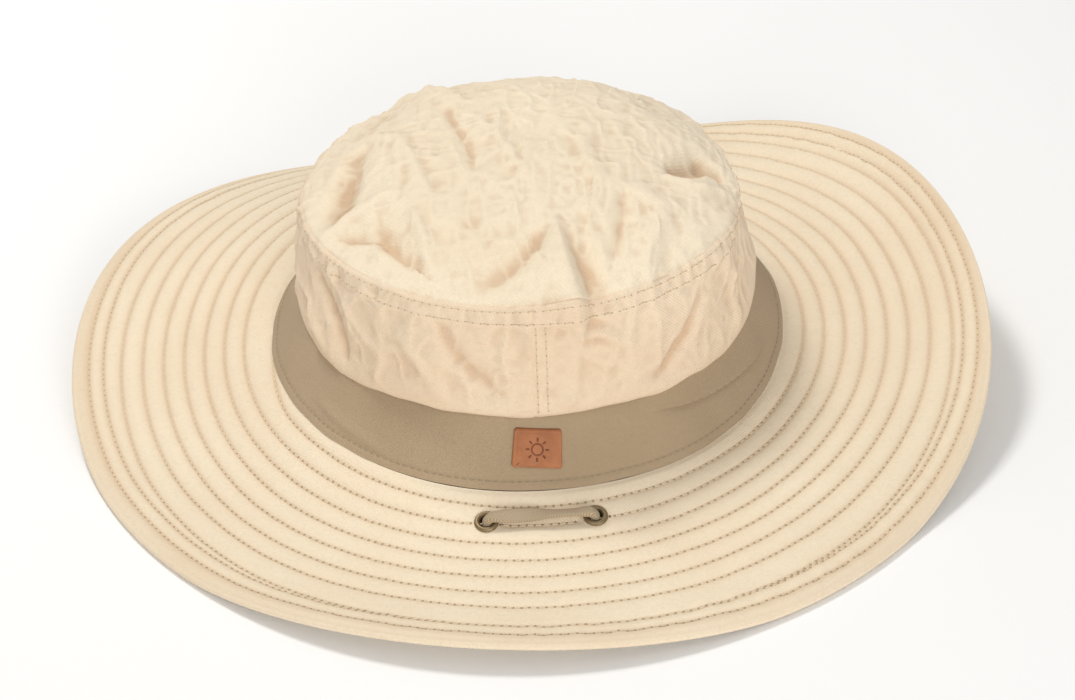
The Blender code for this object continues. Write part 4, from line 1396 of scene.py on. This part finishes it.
def stop_knot(name, side, material):
    """An overhand knot under the left eyelet, drawn small and closed on itself."""
    frame = np.array(eyelet_frame(side, -1) @ Matrix.Translation((0, 0, -8.4 * MM)))
    t = np.linspace(0, TURN, 72, endpoint=False)
    loop = np.stack([np.sin(t) + 2 * np.sin(2 * t), np.cos(t) - 2 * np.cos(2 * t), -1.1 * np.sin(3 * t)], -1)
    path = loop * 0.68 * MM @ frame[:3, :3].T + frame[:3, 3]
    ahead = unit(np.roll(path, -1, axis=0) - np.roll(path, 1, axis=0))
    beside = unit(np.cross(ahead, frame[:3, 2]))
    other = np.cross(beside, ahead)
    sides = 12
    rows = []
    for k in range(sides):
        angle = TURN * k / sides
        rows.append(path + beside * 1.25 * MM * math.cos(angle) + other * 1.0 * MM * math.sin(angle))
    faces = ring_quads(len(t), sides, joined=True)
    uv = np.stack(ring_corners(len(t), sides), -1) * 0.6 * MM
    obj = mesh_object(name, np.stack(rows, 1), faces, material, uv=uv, sharp=180)
    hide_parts(name.replace("_tied", ""))
    return obj


def cord_slide(material):
    """The leather bead on both strands, with rounded rims and two holes."""
    half, radius, out = 7 * MM, 3.6 * MM, 3.75 * MM
    outline = []
    for hand in (1, -1):
        for step in range(13):
            angle = math.pi * (step / 12 - hand / 2)
            outline.append((hand * out + radius * math.cos(angle), radius * math.sin(angle)))
    outline = np.array(outline)
    centre = np.array([SLIDE_X, STRANDS_MIDDLE_Y, STRAND_HEIGHT])
    # How far in from the end each ring of the rim lies, in millimetres, and its size
    rim = ((0, 0.86), (0.25, 0.93), (0.8, 0.985), (1.8, 0.975), (3, 0.955))
    rings = [(depth * MM - half, size) for depth, size in rim] + [(0, 0.95)]
    rings += [(-x, size) for x, size in reversed(rings[:-1])]
    points = []
    for x, size in rings:
        ring = outline - unit(outline) * (1 - size) * radius
        points.append(np.insert(ring, 0, x, axis=1) + centre)
    faces = ring_quads(len(rings), len(outline)).tolist() + end_caps(len(rings), len(outline))
    obj = mesh_object("cord_slide_leather", points, faces, material, body="slide", sharp=40)
    along = Matrix.Rotation(math.pi / 2, 4, "Y")
    places = [Matrix.Translation((SLIDE_X, y, STRAND_HEIGHT)) @ along for y in (NEAR_STRAND_Y, FAR_STRAND_Y)]
    round_holes(obj, places, 2.45 * MM, 4 * half, "EXACT")
    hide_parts("cord_slide")
    return obj


def coil_tie(material):
    """A cotton tape round the coil, on the side away from the slide."""
    section = rounded_rectangle(3.9 * MM, 3.3 * MM, 1.6 * MM, 6)
    y = np.linspace(-3 * MM, 3 * MM, 7)[:, None]
    faces = []
    for thickness in (0.5 * MM, 0.0):
        ring = section + unit(section) * thickness
        x = COIL_X - COIL_RADIUS + ring[:, 0] + 0 * y
        faces.append(np.stack([x, y + 0 * x, 4.35 * MM + ring[:, 1] + 0 * y], -1))
    u, v = np.meshgrid(np.linspace(0, 26 * MM, len(section) + 1), y)
    obj = panel("chin_cord_tie_tape", *faces, u, v, material, "tie_tape")
    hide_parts("chin_cord_tie")
    return obj


def chin_lace(lace, leather, tape):
    """One loose lace with its knots, slide and tie."""
    obj, path, length = lace_mesh(lace)
    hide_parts("chin_cord_near", "chin_cord_far", "chin_cord_coil")
    knots = [stop_knot("near_stop_knot_tied", -1, lace), stop_knot("far_stop_knot_tied", 1, lace)]
    bead = cord_slide(leather)
    tie = coil_tie(tape)


def build():
    """Puts up the camera, the light and every piece."""
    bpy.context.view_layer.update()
    photo_camera()
    studio()
    cream = cloth_material("cream_cotton", CREAM, CREAM_BLOTCH, CREAM_WEAVE, True)
    # The cream cotton of the crown's sides, darkened with painted shade
    shaded_cream_strip = cloth_material("shaded_cream_cotton_side", SHADED_SIDE_CREAM, SHADED_SIDE_CREAM_BLOTCH, CREAM_WEAVE, False)
    khaki = cloth_material("khaki_cotton", KHAKI, KHAKI_BLOTCH, KHAKI_WEAVE, False)
    tape = cloth_material("cotton_tape", TAPE, TAPE_BLOTCH, TAPE_WEAVE, False)
    cream_thread = thread_material("cream_thread", CREAM_THREAD)
    khaki_thread = thread_material("khaki_thread", KHAKI_THREAD)
    # The needle holes' painted shade, in the thread's shader
    hole = thread_material("needle_hole_shade", HOLE_SHADE)
    leather = leather_material("tan_leather_grain", LEATHER, 0.8)
    ink = leather_material("burnt_leather", BURNT, 0.2)
    chin_lace(lace_material(), leather, tape)
    brim_top(cream)
    brim_under(cream)
    brim_stitching(cream_thread, hole)
    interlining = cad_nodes["brim_interlining"].data
    interlining.materials.clear()
    interlining.materials.append(felt_material())
    crown_sides(shaded_cream_strip)
    crown_tip(cream)
    crown_stitching(cream_thread, hole)
    hatband(khaki, khaki_thread)
    sweatband(khaki, khaki_thread)
    leather_patch(leather, ink)
    eyelets(brass_material())


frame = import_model()
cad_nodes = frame["nodes"]
build()
